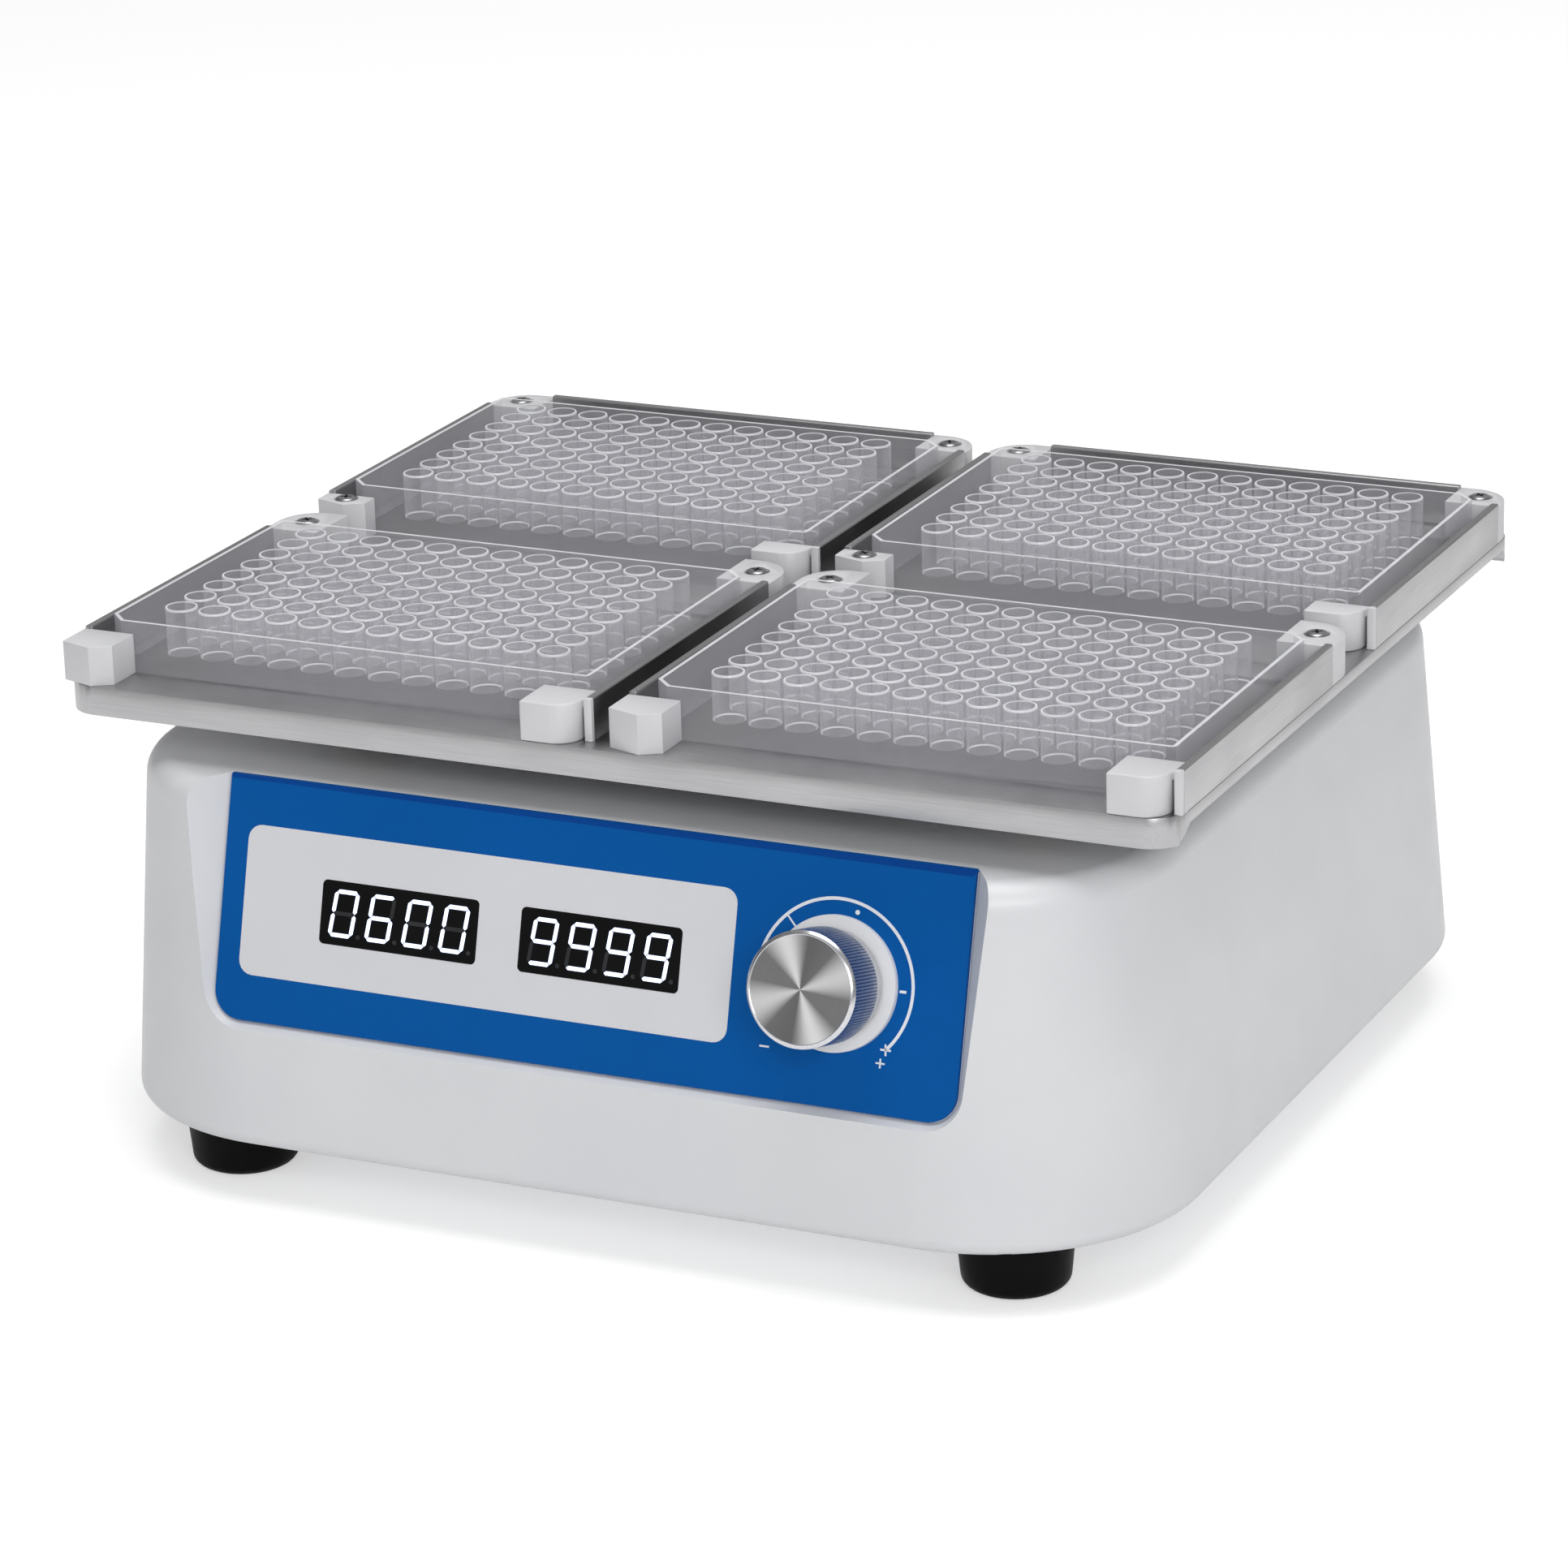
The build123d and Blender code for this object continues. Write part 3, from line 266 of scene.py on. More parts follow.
finish = {
    "housing_plastic": moulded("housing_paint", shade(219, 220, 222), shade(214, 215, 218), (0.34, 0.44)),
    "panel_blue": moulded(
        "panel_film_blue", shade(3, 85, 160), shade(2, 82, 154), (0.42, 0.5), 0.3 * mm, 0.004 * mm, 0.08
    ),
    # Darker blue for the painted shadow along the panel's top edge
    "panel_shadow_blue": moulded(
        "panel_painted_shadow_blue", shade(3, 66, 142), shade(2, 60, 134), (0.5, 0.6), 0.3 * mm, 0.004 * mm, 0.08
    ),
    "window_grey": moulded("window_film", shade(213, 214, 218), shade(210, 211, 215), (0.4, 0.5), 0.3 * mm),
    "display_black": moulded(
        "display_glass", shade(5, 5, 7), shade(9, 9, 11), (0.12, 0.2), 0.8 * mm, 0.001 * mm, 0.2
    ),
    "collar_white": moulded("collar_plastic", shade(222, 223, 226), shade(216, 217, 221), (0.36, 0.46)),
    "foot_rubber": moulded("foot_rubber", shade(8, 8, 8), shade(13, 13, 14), (0.4, 0.55), 0.4 * mm, 0.02 * mm, 0.06),
    "plated_steel": plain_metal("plated_steel", shade(186, 187, 190), shade(160, 162, 168)),
    "screw_steel": plain_metal("screw_steel", shade(176, 176, 178), shade(140, 140, 143), (0.18, 0.3)),
    "board_green": moulded("board_green", shade(24, 92, 52), shade(18, 78, 44), (0.3, 0.4)),
    "black_plastic": moulded("black_plastic", shade(26, 26, 28), shade(34, 34, 36), (0.35, 0.5)),
    "motor_steel": brushed("motor_steel", shade(150, 151, 155), shade(128, 129, 133), (1, 1, 40)),
    "bearing_steel": plain_metal("bearing_steel", shade(196, 197, 200), shade(172, 173, 177), (0.12, 0.22)),
    "bushing_bronze": plain_metal("bushing_bronze", shade(176, 138, 84), shade(150, 114, 66)),
    "tray_aluminium": brushed("tray_aluminium", shade(180, 180, 181), shade(166, 166, 168)),
    "block_white": moulded("block_white", shade(214, 214, 216), shade(209, 209, 212), (0.34, 0.46)),
    "print_white": moulded("print_white", shade(228, 231, 236), shade(220, 224, 230), (0.45, 0.55)),
    # Dark grey for the painted shade in the screws' cross recesses
    "recess_painted_shade": moulded("recess_painted_shade", shade(52, 52, 54), shade(40, 40, 42), (0.4, 0.5)),
    "rocker_black": moulded("rocker_black", shade(20, 20, 21), shade(28, 28, 30), (0.22, 0.34)),
    "knob_metal": plain_metal("knob_edge_metal", shade(206, 207, 210), shade(188, 189, 193), (0.16, 0.26)),
    "rail_aluminium": brushed("rail_aluminium", shade(176, 176, 177), shade(160, 160, 162), (1, 60, 1)),
    "plate_clear": clear_plastic("plate_wall", shade(228, 228, 235), 0.08, 0.35, 0.7),
    # Whiter and nearly opaque: painted highlight on the rims of the wells and the plate
    "plate_rim_highlight": clear_plastic("plate_rim_highlight", shade(246, 246, 250), 0.75, 0.4, 0.95),
    "plate_deck": clear_plastic("plate_deck", shade(226, 226, 232), 0.03, 0.3, 0.1),
    "segment_lit": lit("segment_lit", (0.62, 0.76, 1.0, 1), 1.5, shade(214, 224, 255)),
    "segment_dark": moulded("segment_dark", shade(30, 31, 34), shade(38, 39, 43), (0.2, 0.3), 0.6 * mm),
    "knob_face": spun_metal(),
    "knob_side": knurled(),
}


# Making pieces


def put(mesh, name, body, slot, materials, *replaced):
    """A finished piece with its materials, the body that it rides on and the nodes that it stands for."""
    piece = bpy.data.objects.new(name, mesh)
    bpy.context.scene.collection.objects.link(piece)
    for key in materials:
        mesh.materials.append(finish[key])
    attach(piece, body)
    if replaced:
        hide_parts(*replaced)
    return piece


def close(bm, name, place=None, smooth=30):
    """The bmesh as a mesh, set in place, with sharp edges where faces meet at more than the angle."""
    if place is not None:
        bmesh.ops.transform(bm, matrix=place, verts=bm.verts)
    bmesh.ops.recalc_face_normals(bm, faces=bm.faces)
    for face in bm.faces:
        face.smooth = True
    mesh = bpy.data.meshes.new(name)
    bm.to_mesh(mesh)
    bm.free()
    mesh.set_sharp_from_angle(angle=math.radians(smooth))
    return mesh


def softened(node, slot, material, width=0.25 * mm, name=None):
    """A copy of a CAD node with its hard edges broken, which stands for the node."""
    bm = bmesh.new()
    bm.from_mesh(nodes[node].data)
    bmesh.ops.remove_doubles(bm, verts=bm.verts, dist=0.002 * mm)
    bmesh.ops.dissolve_limit(bm, angle_limit=math.radians(0.5), verts=bm.verts, edges=bm.edges)
    for face in bm.faces:
        face.smooth = True
    mesh = bpy.data.meshes.new(name or node + "_finished")
    bm.to_mesh(mesh)
    bm.free()
    piece = put(mesh, name or node + "_finished", nodes[node]["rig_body"], slot, [material], node)
    edge = piece.modifiers.new("edge", "BEVEL")
    edge.width, edge.segments, edge.limit_method, edge.angle_limit = width, 2, "ANGLE", math.radians(40)
    edge.harden_normals = True
    return piece


def raise_faces(bm, faces, height):
    """Pulls the faces straight up, with walls round them."""
    raised = bmesh.ops.extrude_face_region(bm, geom=faces)["geom"]
    bmesh.ops.translate(bm, vec=(0, 0, height), verts=[v for v in raised if isinstance(v, bmesh.types.BMVert)])


def slab(bm, corner_points, low, high, round_by=0.0, segments=5):
    """A flat plate of an outline in u and v, from low to high, with rounded corners where asked."""
    before = set(bm.faces)
    verts = [bm.verts.new((u, v, low)) for u, v in corner_points]
    bm.faces.new(verts)
    if round_by:
        bmesh.ops.bevel(
            bm, geom=verts, offset=round_by, offset_type="OFFSET", affect="VERTICES", segments=segments,
            profile=0.5, material=-1,
        )
    raise_faces(bm, [f for f in bm.faces if f not in before], high - low)


def box_points(u, v, width, height):
    return [
        (u - width / 2, v - height / 2),
        (u + width / 2, v - height / 2),
        (u + width / 2, v + height / 2),
        (u - width / 2, v + height / 2),
    ]


def turned(bm, profile, steps):
    """A turned part: a profile of radius and height, spun round the upright axis."""
    verts = [bm.verts.new((radius, 0, height)) for radius, height in profile]
    edges = [bm.edges.new(pair) for pair in zip(verts, verts[1:])]
    bmesh.ops.spin(
        bm, geom=verts + edges, cent=(0, 0, 0), axis=(0, 0, 1), angle=math.tau, steps=steps, use_merge=True
    )
    bmesh.ops.remove_doubles(bm, verts=bm.verts, dist=0.001 * mm)


# Microplates: wall, rim and deck are the three materials of each, in that order

plate_length, plate_width, plate_height = 127.76 * mm, 85.48 * mm, 14.35 * mm
deck_height, deck_border, keyed_corner, plain_corner = 13.1 * mm, 0.9 * mm, 6 * mm, 1.2 * mm
well_columns, well_rows, well_pitch, well_sides = 12, 8, 9 * mm, 18
well_floor, well_floor_radius, rim_foot = 2.7 * mm, 3.5 * mm, 13.95 * mm
well_profile = [
    (0, well_floor),
    (well_floor_radius, well_floor),
    (3.98 * mm, 2.95 * mm),
    (4.0 * mm, rim_foot),
    (3.86 * mm, plate_height),
    (3.4 * mm, plate_height),
]
wall, rim, deck = 0, 1, 2
near = mm / 9


def well_mesh_of(name):
    """One well: a rim and bottom edge in whiter, more opaque plastic as a painted highlight, a clear wall and a faint
    floor.
    """
    well = bmesh.new()
    turned(well, well_profile, well_sides)
    bmesh.ops.recalc_face_normals(well, faces=well.faces)
    for face in well.faces:
        middle = face.calc_center_median()
        if middle.z > rim_foot or (middle.z < 2.9 * mm and middle.xy.length > well_floor_radius):
            face.material_index = rim
        elif middle.z < 2.8 * mm:
            face.material_index = deck
    mesh = bpy.data.meshes.new(name)
    well.to_mesh(mesh)
    well.free()
    return mesh


def microplate_mesh(name, centre_x, centre_y, floor_z):
    """Skirt, deck and 96 round wells of clear plastic, open below."""
    bm = bmesh.new()
    corners = [
        bm.verts.new((x * plate_length / 2, y * plate_width / 2, 0)) for x, y in ((-1, -1), (1, -1), (1, 1), (-1, 1))
    ]
    bm.faces.new(corners)
    bmesh.ops.bevel(
        bm, geom=[corners[0], corners[2]], offset=keyed_corner * math.sqrt(0.5), offset_type="OFFSET",
        affect="VERTICES", segments=1, profile=0.5, material=-1,
    )
    square = [
        v for v in bm.verts
        if abs(abs(v.co.x) - plate_length / 2) < near and abs(abs(v.co.y) - plate_width / 2) < near
    ]
    bmesh.ops.bevel(
        bm, geom=square, offset=plain_corner, offset_type="OFFSET", affect="VERTICES", segments=4, profile=0.5,
        material=-1,
    )
    raise_faces(bm, list(bm.faces), deck_height)
    for face in [f for f in bm.faces if f.normal.z < -0.5 or all(v.co.z < near for v in f.verts)]:
        bm.faces.remove(face)
    top = [f for f in bm.faces if all(v.co.z > deck_height - near for v in f.verts)]
    bmesh.ops.inset_region(bm, faces=top, thickness=deck_border, use_even_offset=True)
    # The deck's border ring takes the rim material, a painted highlight
    for face in bm.faces:
        level = all(v.co.z > deck_height - near for v in face.verts)
        face.material_index = (deck if face in top else rim) if level else wall
    well_mesh = well_mesh_of(name + "_well")
    for column in range(well_columns):
        for row in range(well_rows):
            before = len(bm.verts)
            bm.from_mesh(well_mesh)
            bm.verts.ensure_lookup_table()
            across = (column - (well_columns - 1) / 2) * well_pitch
            along = (row - (well_rows - 1) / 2) * well_pitch
            bmesh.ops.translate(bm, vec=(across, along, 0), verts=bm.verts[before:])
    bpy.data.meshes.remove(well_mesh)
    bmesh.ops.translate(bm, vec=(centre_x, centre_y, floor_z), verts=bm.verts)
    for face in bm.faces:
        face.smooth = True
    mesh = bpy.data.meshes.new(name)
    bm.to_mesh(mesh)
    bm.free()
    mesh.set_sharp_from_angle(angle=math.radians(35))
    return mesh


for place in places:
    low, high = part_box("microplate_" + place)
    name = "clear_plate_" + place
    mesh = microplate_mesh(name, (low.x + high.x) / 2, (low.y + high.y) / 2, low.z)
    put(mesh, name, "plate_" + place, "plate_clear", ["plate_clear", "plate_rim_highlight", "plate_deck"], "microplate_" + place)


# Tray, rails and blocks with broken edges

softened("tray", "tray_aluminium", "tray_aluminium", 0.3 * mm)
softened("side_rails", "tray_aluminium", "rail_aluminium", 0.25 * mm)
softened("back_rails", "tray_aluminium", "tray_aluminium", 0.25 * mm)
softened("rail_end_caps", "block_white", "block_white", 0.2 * mm)
for side in ("front_left", "front_right", "back_left", "back_right"):
    softened(side + "_blocks", "block_white", "block_white", 0.45 * mm)
softened("feet", "foot_rubber", "foot_rubber", 0.8 * mm)


# Screws with a domed head and a cross recess


screw_head, screw_head_height, shank = 2.9 * mm, 1.9 * mm, 1.5 * mm


def cross_screw(bm, head_radius, head_height):
    """A domed screw head that stands on the XY plane, with the second material, a dark painted shade, in its cross
    recess.
    """
    edge = bmesh.ops.create_circle(bm, radius=head_radius, segments=24)["verts"]
    base = bm.faces.new(edge)
    lift = bmesh.ops.extrude_face_region(bm, geom=[base])
    top = [f for f in lift["geom"] if isinstance(f, bmesh.types.BMFace)]
    bmesh.ops.translate(bm, vec=(0, 0, head_height * 0.5), verts=top[0].verts)
    for inset, rise in ((0.08, 0.25), (0.14, 0.17), (0.2, 0.08)):
        bmesh.ops.inset_region(bm, faces=top, thickness=head_radius * inset)
        bmesh.ops.translate(bm, vec=(0, 0, head_height * rise), verts=top[0].verts)
    outer = list(top[0].edges)
    level = top[0].verts[0].co.z
    bmesh.ops.delete(bm, geom=top, context="FACES_ONLY")
    arm, half = head_radius * 0.46, head_radius * 0.12
    cross = [
        (half, arm), (-half, arm), (-half, half), (-arm, half), (-arm, -half), (-half, -half),
        (-half, -arm), (half, -arm), (half, -half), (arm, -half), (arm, half), (half, half),
    ]
    points = [bm.verts.new((x, y, level)) for x, y in cross]
    inner = [bm.edges.new((points[i - 1], points[i])) for i in range(12)]
    bmesh.ops.bridge_loops(bm, edges=outer + inner)
    recess = bm.faces.new(points)
    sunk = bmesh.ops.extrude_face_region(bm, geom=[recess])
    floor = [f for f in sunk["geom"] if isinstance(f, bmesh.types.BMFace)][0]
    bmesh.ops.translate(bm, vec=(0, 0, -head_height * 0.55), verts=floor.verts)
    bm.normal_update()
    # The floor and walls of the recess take the dark second material: painted shade
    for vert in floor.verts:
        for face in vert.link_faces:
            face.material_index = 1
    if recess.is_valid:
        bm.faces.remove(recess)


def solid_boxes(node):
    """The box of each separate solid of a CAD node, in a fixed order."""
    source = bmesh.new()
    source.from_mesh(nodes[node].data)
    bmesh.ops.remove_doubles(source, verts=source.verts, dist=0.002 * mm)
    left, boxes = set(source.verts), []
    while left:
        reach, island = [left.pop()], []
        while reach:
            vert = reach.pop()
            island.append(vert.co.copy())
            for edge in vert.link_edges:
                other = edge.other_vert(vert)
                if other in left:
                    left.remove(other)
                    reach.append(other)
        low = Vector((min(c[i] for c in island) for i in range(3)))
        high = Vector((max(c[i] for c in island) for i in range(3)))
        boxes.append((low, high))
    source.free()
    return sorted(boxes, key=lambda box: tuple(round(c, 5) for c in box[0]))


def screw_group(node, axis_turn, shank_length):
    """A head and shank at each solid of a CAD node of screws, each turned a little further than the last."""
    whole = bmesh.new()
    for number, (low, high) in enumerate(solid_boxes(node)):
        one = bmesh.new()
        cross_screw(one, screw_head, screw_head_height)
        stem = bmesh.ops.create_cone(
            one, segments=12, cap_ends=True, radius1=shank, radius2=shank, depth=shank_length
        )
        bmesh.ops.translate(one, vec=(0, 0, -shank_length / 2 + 0.02 * mm), verts=stem["verts"])
        bmesh.ops.rotate(one, cent=(0, 0, 0), matrix=Matrix.Rotation(0.4 * (number + 1), 3, "Z"), verts=one.verts)
        bmesh.ops.transform(one, matrix=axis_turn, verts=one.verts)
        middle = (low + high) / 2
        up = axis_turn @ Vector((0, 0, 1))
        seat = middle.copy()
        for i in range(3):
            if abs(up[i]) > 0.5:
                seat[i] = (high[i] if up[i] > 0 else low[i]) - up[i] * screw_head_height
        bmesh.ops.translate(one, vec=seat, verts=one.verts)
        bmesh.ops.recalc_face_normals(one, faces=one.faces)
        part = bpy.data.meshes.new("part")
        one.to_mesh(part)
        one.free()
        whole.from_mesh(part)
        bpy.data.meshes.remove(part)
    for face in whole.faces:
        face.smooth = True
    mesh = bpy.data.meshes.new(node + "_turned")
    whole.to_mesh(mesh)
    whole.free()
    mesh.set_sharp_from_angle(angle=math.radians(32))
    put(mesh, node + "_turned", nodes[node]["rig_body"], "screw_steel", ["screw_steel", "recess_painted_shade"], node)


upright, face_down, rearward = (Matrix.Rotation(angle, 4, "X") for angle in (0, math.pi, -math.pi / 2))
screw_group("block_screws", upright, 10.5 * mm)
screw_group("tray_screws", upright, 1.9 * mm)
screw_group("foot_screws", face_down, 12 * mm)
screw_group("inlet_screws", rearward, 5 * mm)


# Knob and its collar


def knob_mesh():
    """Turned knob: flat face, narrow bright chamfer, knurled side and a smooth skirt."""
    bm = bmesh.new()
    back, front, radius, skirt_top = 3.6 * mm, 20.2 * mm, 13.3 * mm, 7.7 * mm
    turned(
        bm,
        [
            (3.0 * mm, back),
            (radius - 0.75 * mm, back),
            (radius - 0.7 * mm, back + 3.5 * mm),
            (radius - 0.1 * mm, back + 3.7 * mm),
            (radius - 0.05 * mm, skirt_top),
            (radius - 0.05 * mm, front - 0.75 * mm),
            (radius - 0.5 * mm, front - 0.25 * mm),
            (radius - 0.95 * mm, front - 0.02 * mm),
            (radius - 1.1 * mm, front - 0.12 * mm),
            (0.02 * mm, front - 0.16 * mm),
        ],
        96,
    )
    bmesh.ops.holes_fill(bm, edges=[e for e in bm.edges if e.is_boundary and e.verts[0].co.z > front / 2], sides=0)
    bmesh.ops.recalc_face_normals(bm, faces=bm.faces)
    round_map = bm.loops.layers.uv.new("round")
    for face in bm.faces:
        middle = face.calc_center_median()
        reach = middle.xy.length
        if middle.z > front - 0.2 * mm and reach < radius - 1.1 * mm:
            face.material_index = 1
        elif skirt_top < middle.z < front - 0.75 * mm:
            face.material_index = 2
        home = math.atan2(middle.y, middle.x)
        for loop in face.loops:
            angle = math.atan2(loop.vert.co.y, loop.vert.co.x)
            while angle - home > math.pi:
                angle -= math.tau
            while home - angle > math.pi:
                angle += math.tau
            loop[round_map].uv = (angle / math.tau, loop.vert.co.xy.length / radius + loop.vert.co.z / front)
    return close(bm, "turned_knob", knob_place, 24)


put(knob_mesh(), "turned_knob", "knob", "knob_metal", ["knob_metal", "knob_face", "knob_side"], "control_knob")

collar_bore, collar_radius, collar_top = 3.7 * mm, 15.5 * mm, 2.7 * mm
bm = bmesh.new()
turned(
    bm,
    [
        (collar_bore, panel_skin),
        (collar_radius, panel_skin),
        (collar_radius, 2.35 * mm),
        (15.36 * mm, 2.62 * mm),
        (15.05 * mm, collar_top),
        (collar_bore, collar_top),
        (collar_bore, panel_skin),
    ],
    96,
)
put(close(bm, "round_collar", knob_place), "round_collar", "base", "collar_white", ["collar_white"], "knob_collar")


# Panel: blue film, pale window, displays and printed marks

film = 0.05 * mm


def panel_piece(name, outline, low, high, slot, material, round_by=0.0, replaced=()):
    """A flat piece of the panel, from low to high above its foot plane."""
    bm = bmesh.new()
    slab(bm, outline, low, high, round_by)
    return put(close(bm, name, panel_frame), name, "base", slot, [material], *replaced)


window = box_points(-25.6 * mm, 28.6 * mm, 126 * mm, 35.3 * mm)
panel_piece(
    "window_film", window, panel_skin - 0.2 * mm, panel_skin + film, "window_grey", "window_grey", 3.5 * mm,
    ("display_window",),
)
# A flat darker blue strip along the panel's top edge, with a pointed tip at the right: painted shadow along the top of
# the recess
panel_piece(
    "panel_top_strip",
    [(u * mm, v * mm) for u, v in ((-94.2, 57.5), (-94.2, 56.5), (93.6, 55.9), (95.1, 57.3), (94.9, 57.5))],
    panel_skin - film, panel_skin + film, "panel_blue", "panel_shadow_blue",
)
display_u, display_v = (-47.6 * mm, 4.1 * mm), 28.2 * mm
display_width, display_height, display_depth = 40.8 * mm, 15 * mm, 9 * mm
for key, u in zip(("speed", "time"), display_u):
    panel_piece(
        key + "_display_glass", box_points(u, display_v, display_width, display_height), panel_skin - display_depth,
        panel_skin + 2 * film, "display_black", "display_black", 1.2 * mm, (key + "_display",),
    )

# Seven slanted bars for each digit, by letter: a top, b and c right, d bottom, e and f left, g middle
digit_height, digit_width, digit_pitch, bar, slant = 10.2 * mm, 5.5 * mm, 9.6 * mm, 0.95 * mm, 0.12
bar_gap, point_radius, point_shift = 0.13 * mm, 0.55 * mm, 4.1 * mm
bars_of = {"0": "abcdef", "6": "acdefg", "9": "abcdfg"}


def bar_points(key):
    """The long six-sided outline of one bar, before the slant."""
    w, h, t = digit_width / 2, digit_height / 2, bar / 2
    ends = {
        "a": ((-w, h), (w, h)), "b": ((w, h), (w, 0)), "c": ((w, 0), (w, -h)), "d": ((-w, -h), (w, -h)),
        "e": ((-w, 0), (-w, -h)), "f": ((-w, h), (-w, 0)), "g": ((-w, 0), (w, 0)),
    }
    (u1, v1), (u2, v2) = ends[key]
    along = Vector((u2 - u1, v2 - v1)).normalized()
    across = Vector((-along.y, along.x)) * t
    first, last = Vector((u1, v1)) + along * bar_gap, Vector((u2, v2)) - along * bar_gap
    return [
        first, first + along * t - across, last - along * t - across, last, last - along * t + across,
        first + along * t + across,
    ]


def digits(name, text, centre_u, chosen, material):
    """The lit bars of four figures, or the dark bars and points that are left."""
    bm = bmesh.new()
    for number, figure in enumerate(text):
        u0 = centre_u + (number - 1.5) * digit_pitch
        for key in "abcdefg":
            if (key in bars_of[figure]) == chosen:
                points = [(u0 + p.x + slant * p.y, display_v + p.y) for p in bar_points(key)]
                slab(bm, points, panel_skin + 1.5 * film, panel_skin + 3 * film)
        if not chosen:
            dot = bmesh.ops.create_cone(
                bm, segments=16, cap_ends=True, radius1=point_radius, radius2=point_radius, depth=1.5 * film
            )
            spot = (u0 + point_shift, display_v - digit_height / 2 + 0.1 * mm, panel_skin + 2.25 * film)
            bmesh.ops.translate(bm, vec=spot, verts=dot["verts"])
    put(close(bm, name, panel_frame), name, "base", "display_black", [material])


for key, text, u in zip(("speed", "time"), ("0600", "9999"), display_u):
    digits(key + "_lit_bars", text, u, True, "segment_lit")
    digits(key + "_dark_bars", text, u, False, "segment_dark")


def round_strip(bm, radius, width, start, end, steps=60):
    """A flat printed strip round the knob, between two angles in degrees."""
    a = math.radians(start)
    side = [
        bm.verts.new((math.cos(a) * r, math.sin(a) * r, h))
        for r, h in (
            (radius - width / 2, panel_skin - film),
            (radius + width / 2, panel_skin - film),
            (radius + width / 2, panel_skin + film),
            (radius - width / 2, panel_skin + film),
        )
    ]
    face = bm.faces.new(side)
    bmesh.ops.spin(
        bm, geom=[face], cent=(0, 0, 0), axis=(0, 0, 1), angle=math.radians(end - start), steps=steps, use_merge=False
    )


def mark(bm, u, v, width, height, turn=0.0, round_by=0.0):
    """A small printed bar at u and v from the knob's middle."""
    one = bmesh.new()
    slab(one, box_points(0, 0, width, height), panel_skin - film, panel_skin + film, round_by, 3)
    bmesh.ops.rotate(one, cent=(0, 0, 0), matrix=Matrix.Rotation(math.radians(turn), 3, "Z"), verts=one.verts)
    bmesh.ops.translate(one, vec=(u, v, 0), verts=one.verts)
    part = bpy.data.meshes.new("part")
    one.to_mesh(part)
    one.free()
    bm.from_mesh(part)
    bpy.data.meshes.remove(part)


def at(radius, degrees):
    """The u and v of a point on a circle round the knob."""
    return radius * math.cos(math.radians(degrees)), radius * math.sin(math.radians(degrees))


# An arc with an arrowhead, three ticks inside it, and minus and plus at its ends
arc_radius, arc_start, arc_end = 19.1 * mm, -44, 220
minus_spot, plus_spot = (-15.8 * mm, -16.3 * mm), (12.7 * mm, -16.4 * mm)
bm = bmesh.new()
round_strip(bm, arc_radius, 0.75 * mm, arc_start, arc_end)
mark(bm, *at(17.2 * mm, 132.7), 3.0 * mm, 0.4 * mm, 132.7)
mark(bm, *at(17.0 * mm, 76), 1.1 * mm, 1.1 * mm, 76, 0.5 * mm)
mark(bm, *at(16.7 * mm, 0.7), 1.6 * mm, 0.6 * mm, 0.7)
mark(bm, *minus_spot, 2.4 * mm, 0.45 * mm)
mark(bm, *plus_spot, 2.2 * mm, 0.4 * mm)
mark(bm, *plus_spot, 0.4 * mm, 2.2 * mm)
mark(bm, *at(arc_radius, arc_start), 2.6 * mm, 0.45 * mm, -85)
mark(bm, *at(arc_radius, arc_start), 2.6 * mm, 0.45 * mm, 0)
put(close(bm, "dial_print", knob_place), "dial_print", "base", "collar_white", ["print_white"])


# Finishes of the parts that stay as the frame has them

node_finish = {
    "housing_shell": "housing_plastic",
    "bottom_plate": "plated_steel",
    "housing_screws": "screw_steel",
    "control_panel": "panel_blue",
    "display_board": "board_green",
    "board_standoffs": "plated_steel",
    "encoder_body": "black_plastic",
    "chassis_plate": "plated_steel",
    "chassis_pillars": "plated_steel",
    "chassis_screws": "screw_steel",
    "motor_can": "motor_steel",
    "motor_bearings": "bearing_steel",
    "motor_stator": "motor_steel",
    "idler_blocks": "plated_steel",
    "power_supply": "plated_steel",
    "drive_board": "board_green",
    "power_inlet": "black_plastic",
    "inlet_pins": "bearing_steel",
    "rocker_frame": "black_plastic",
    "fuse_holder": "black_plastic",
    "crank_shaft": "bearing_steel",
    "counterweight": "plated_steel",
    "motor_rotor": "motor_steel",
    "subframe": "tray_aluminium",
    "platform_hub": "plated_steel",
    "hub_bearing": "bearing_steel",
    "platform_bushings": "bushing_bronze",
    "encoder_plunger": "black_plastic",
    "encoder_shaft": "bearing_steel",
    "power_rocker": "rocker_black",
    **{"idler_crank_" + place_name: "bearing_steel" for place_name in places},
}
for node, key in node_finish.items():
    nodes[node].data.materials.clear()
    nodes[node].data.materials.append(finish[key])


# Floor, light and camera


floor_glow = 0.46


def floor_finish():
    """Pale floor that the eye and its reflections see as white, and that still takes the shadow."""
    f = Finish("floor_white")
    f.link(f.tint(f.noise(0.8, 1), (0.8, 0.8, 0.8, 1), (0.79, 0.79, 0.79, 1)), f.shader.inputs["Base Color"])
    f.set(Roughness=0.9, Specular_IOR_Level=0.0)
    f.shader.inputs["Emission Color"].default_value = (1, 1, 1, 1)
    path = f.add("ShaderNodeLightPath")
    first = f.add("ShaderNodeMath", operation="ADD", use_clamp=True)
    f.link(path.outputs["Is Camera Ray"], first.inputs[0])
    f.link(path.outputs["Is Glossy Ray"], first.inputs[1])
    second = f.add("ShaderNodeMath", operation="ADD", use_clamp=True)
    f.link(first.outputs[0], second.inputs[0])
    f.link(path.outputs["Is Transmission Ray"], second.inputs[1])
    f.link(f.spread(second.outputs[0], 0.0, floor_glow, 0, 1), f.shader.inputs["Emission Strength"])
    return f.material


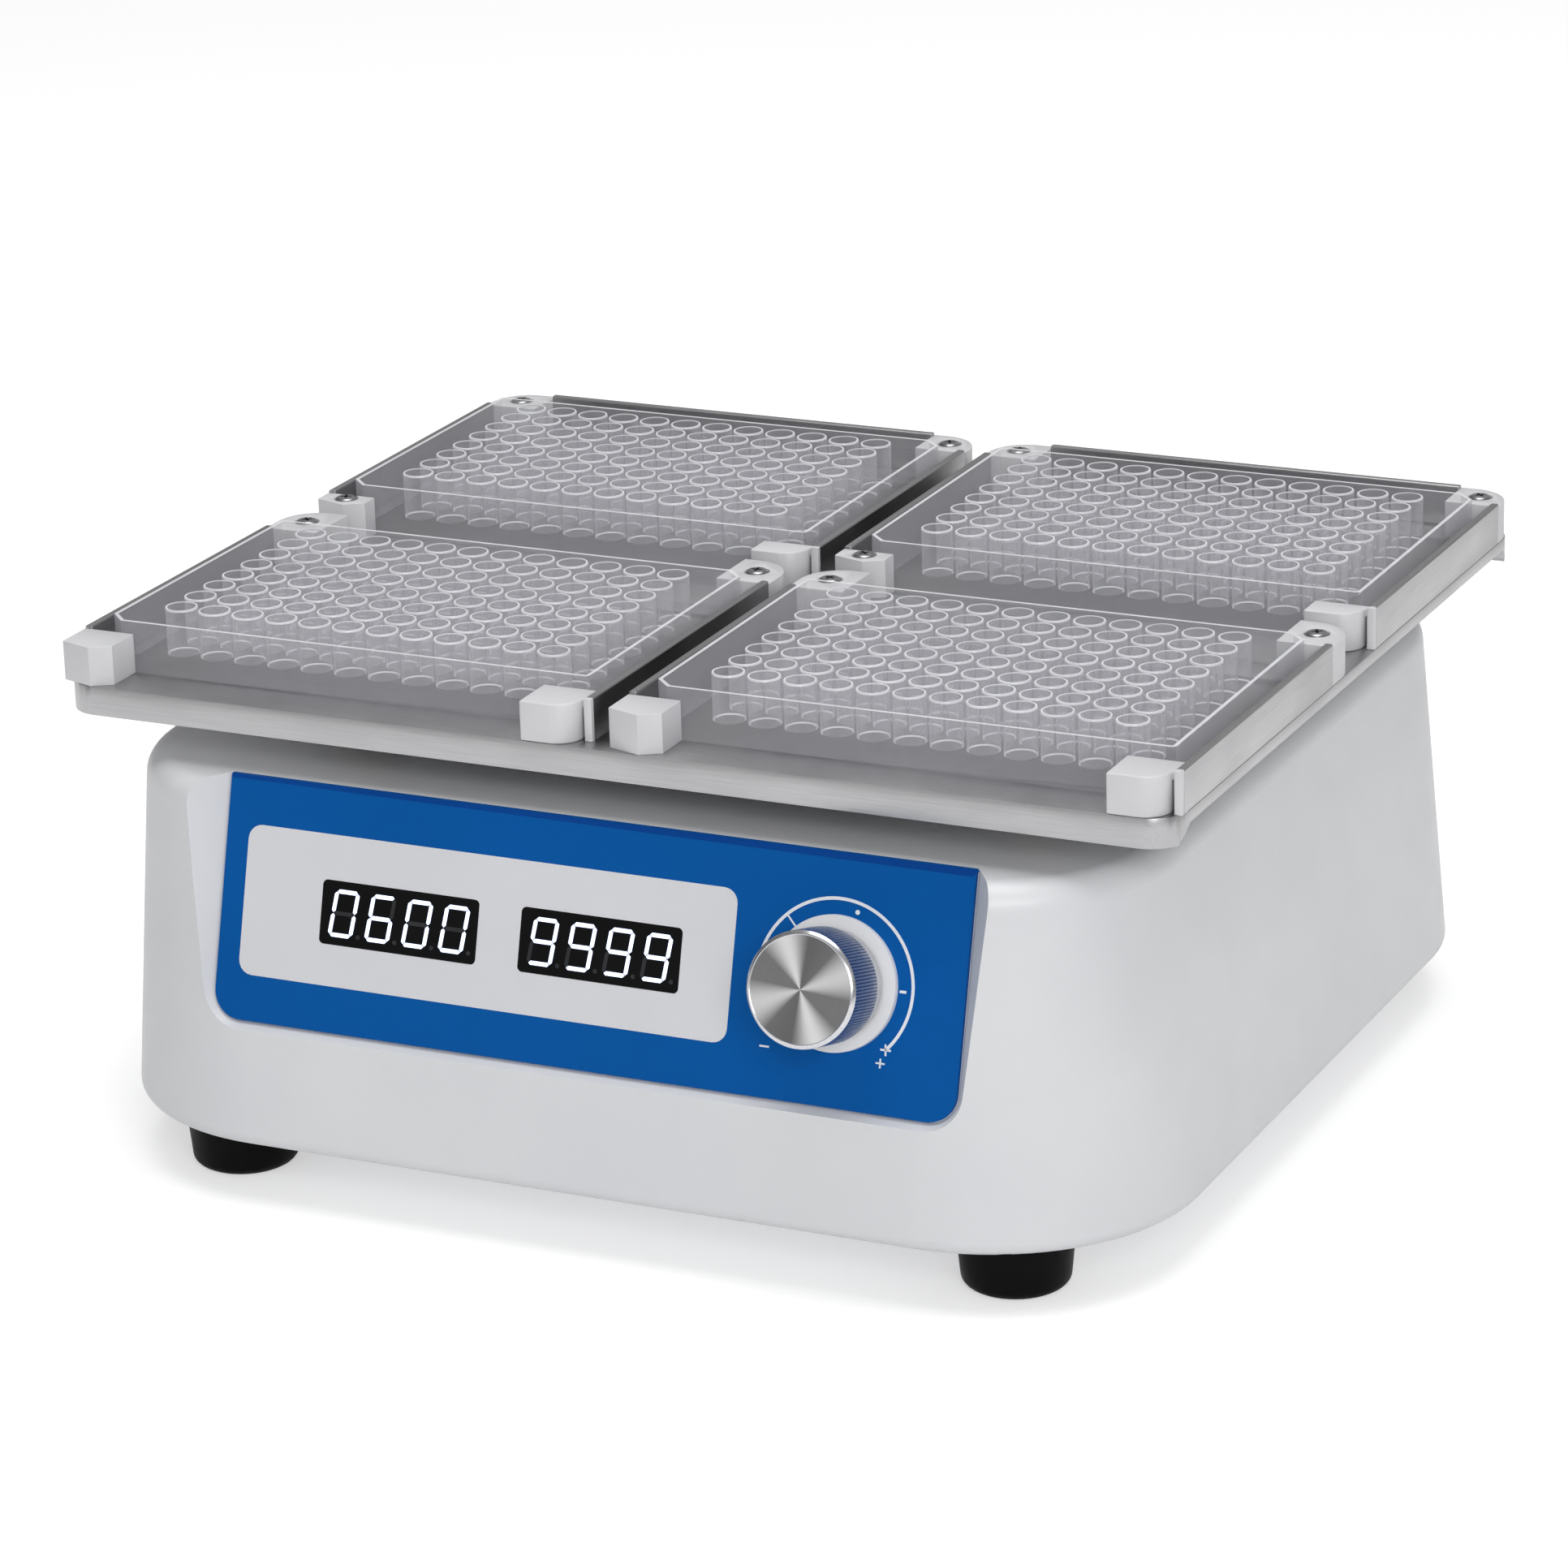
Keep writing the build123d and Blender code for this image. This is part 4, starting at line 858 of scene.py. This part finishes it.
bm = bmesh.new()
bmesh.ops.create_circle(bm, radius=9, segments=64, cap_ends=True)
floor_mesh = bpy.data.meshes.new("floor")
bm.to_mesh(floor_mesh)
bm.free()
floor_mesh.materials.append(floor_finish())
floor = bpy.data.objects.new("floor", floor_mesh)
bpy.context.scene.collection.objects.link(floor)

world = bpy.data.worlds.new("studio")
bpy.context.scene.world = world
world.use_nodes = True
tree = world.node_tree
background = tree.nodes["Background"]
background.inputs["Color"].default_value = (1, 1, 1, 1)
path = tree.nodes.new("ShaderNodeLightPath")
total = tree.nodes.new("ShaderNodeMath")
total.operation, total.use_clamp = "ADD", True
tree.links.new(path.outputs["Is Camera Ray"], total.inputs[0])
tree.links.new(path.outputs["Is Transmission Ray"], total.inputs[1])
level = tree.nodes.new("ShaderNodeMapRange")
level.inputs["To Max"].default_value = 1.0
tree.links.new(total.outputs[0], level.inputs["Value"])
tree.links.new(level.outputs["Result"], background.inputs["Strength"])
# The room is dimmer to the sides than in front and above
direction = tree.nodes.new("ShaderNodeTexCoord")
parts = tree.nodes.new("ShaderNodeSeparateXYZ")
tree.links.new(direction.outputs["Generated"], parts.inputs[0])
left_share, middle_share, right_share = 0.2, 0.52, 0.32
sideways = tree.nodes.new("ShaderNodeValToRGB")
shares = sideways.color_ramp.elements
shares[0].position, shares[0].color = 0.0, (left_share,) * 3 + (1,)
shares[1].position, shares[1].color = 1.0, (right_share,) * 3 + (1,)
shares.new(0.5).color = (middle_share,) * 3 + (1,)
across = tree.nodes.new("ShaderNodeMapRange")
across.inputs["From Min"].default_value = -1
tree.links.new(parts.outputs[0], across.inputs["Value"])
tree.links.new(across.outputs["Result"], sideways.inputs[0])
tree.links.new(sideways.outputs[0], level.inputs["To Min"])


def softbox(name, place, aim, width, height, power):
    """A large soft lamp that looks at a point."""
    data = bpy.data.lights.new(name, "AREA")
    data.shape, data.size, data.size_y, data.energy = "RECTANGLE", width, height, power
    lamp = bpy.data.objects.new(name, data)
    lamp.location = place
    lamp.rotation_mode = "QUATERNION"
    lamp.rotation_quaternion = (Vector(aim) - Vector(place)).to_track_quat("-Z", "Y")
    bpy.context.scene.collection.objects.link(lamp)


softbox("front", (1.0, -1.6, 0.9), (0, 0, 0.08), 1.0, 0.8, 15)
softbox("overhead", (0.1, 0.0, 1.8), (0, 0, 0.1), 1.2, 1.2, 15)

# The camera stands to the front right, looks down and is tipped a little
camera_spot, camera_lens = (0.5970, -1.2632, 0.5615), 139.66
turn, drop, tip = math.radians(25.39), math.radians(19.24), math.radians(-1.68)
view = Vector((-math.sin(turn) * math.cos(drop), math.cos(turn) * math.cos(drop), -math.sin(drop)))
right = Vector((math.cos(turn), math.sin(turn), 0))
above = right.cross(view)
right_tipped = right * math.cos(tip) + above * math.sin(tip)
above_tipped = above * math.cos(tip) - right * math.sin(tip)
camera_data = bpy.data.cameras.new("camera")
camera_data.sensor_width = 36
camera_data.lens = camera_lens
camera = bpy.data.objects.new("camera", camera_data)
bpy.context.scene.collection.objects.link(camera)
camera.matrix_world = Matrix.Translation(camera_spot) @ Matrix(
    (right_tipped, above_tipped, -view)
).transposed().to_4x4()
bpy.context.scene.camera = camera
bpy.context.scene.view_settings.view_transform = "Standard"
bpy.context.scene.cycles.transparent_max_bounces = 24
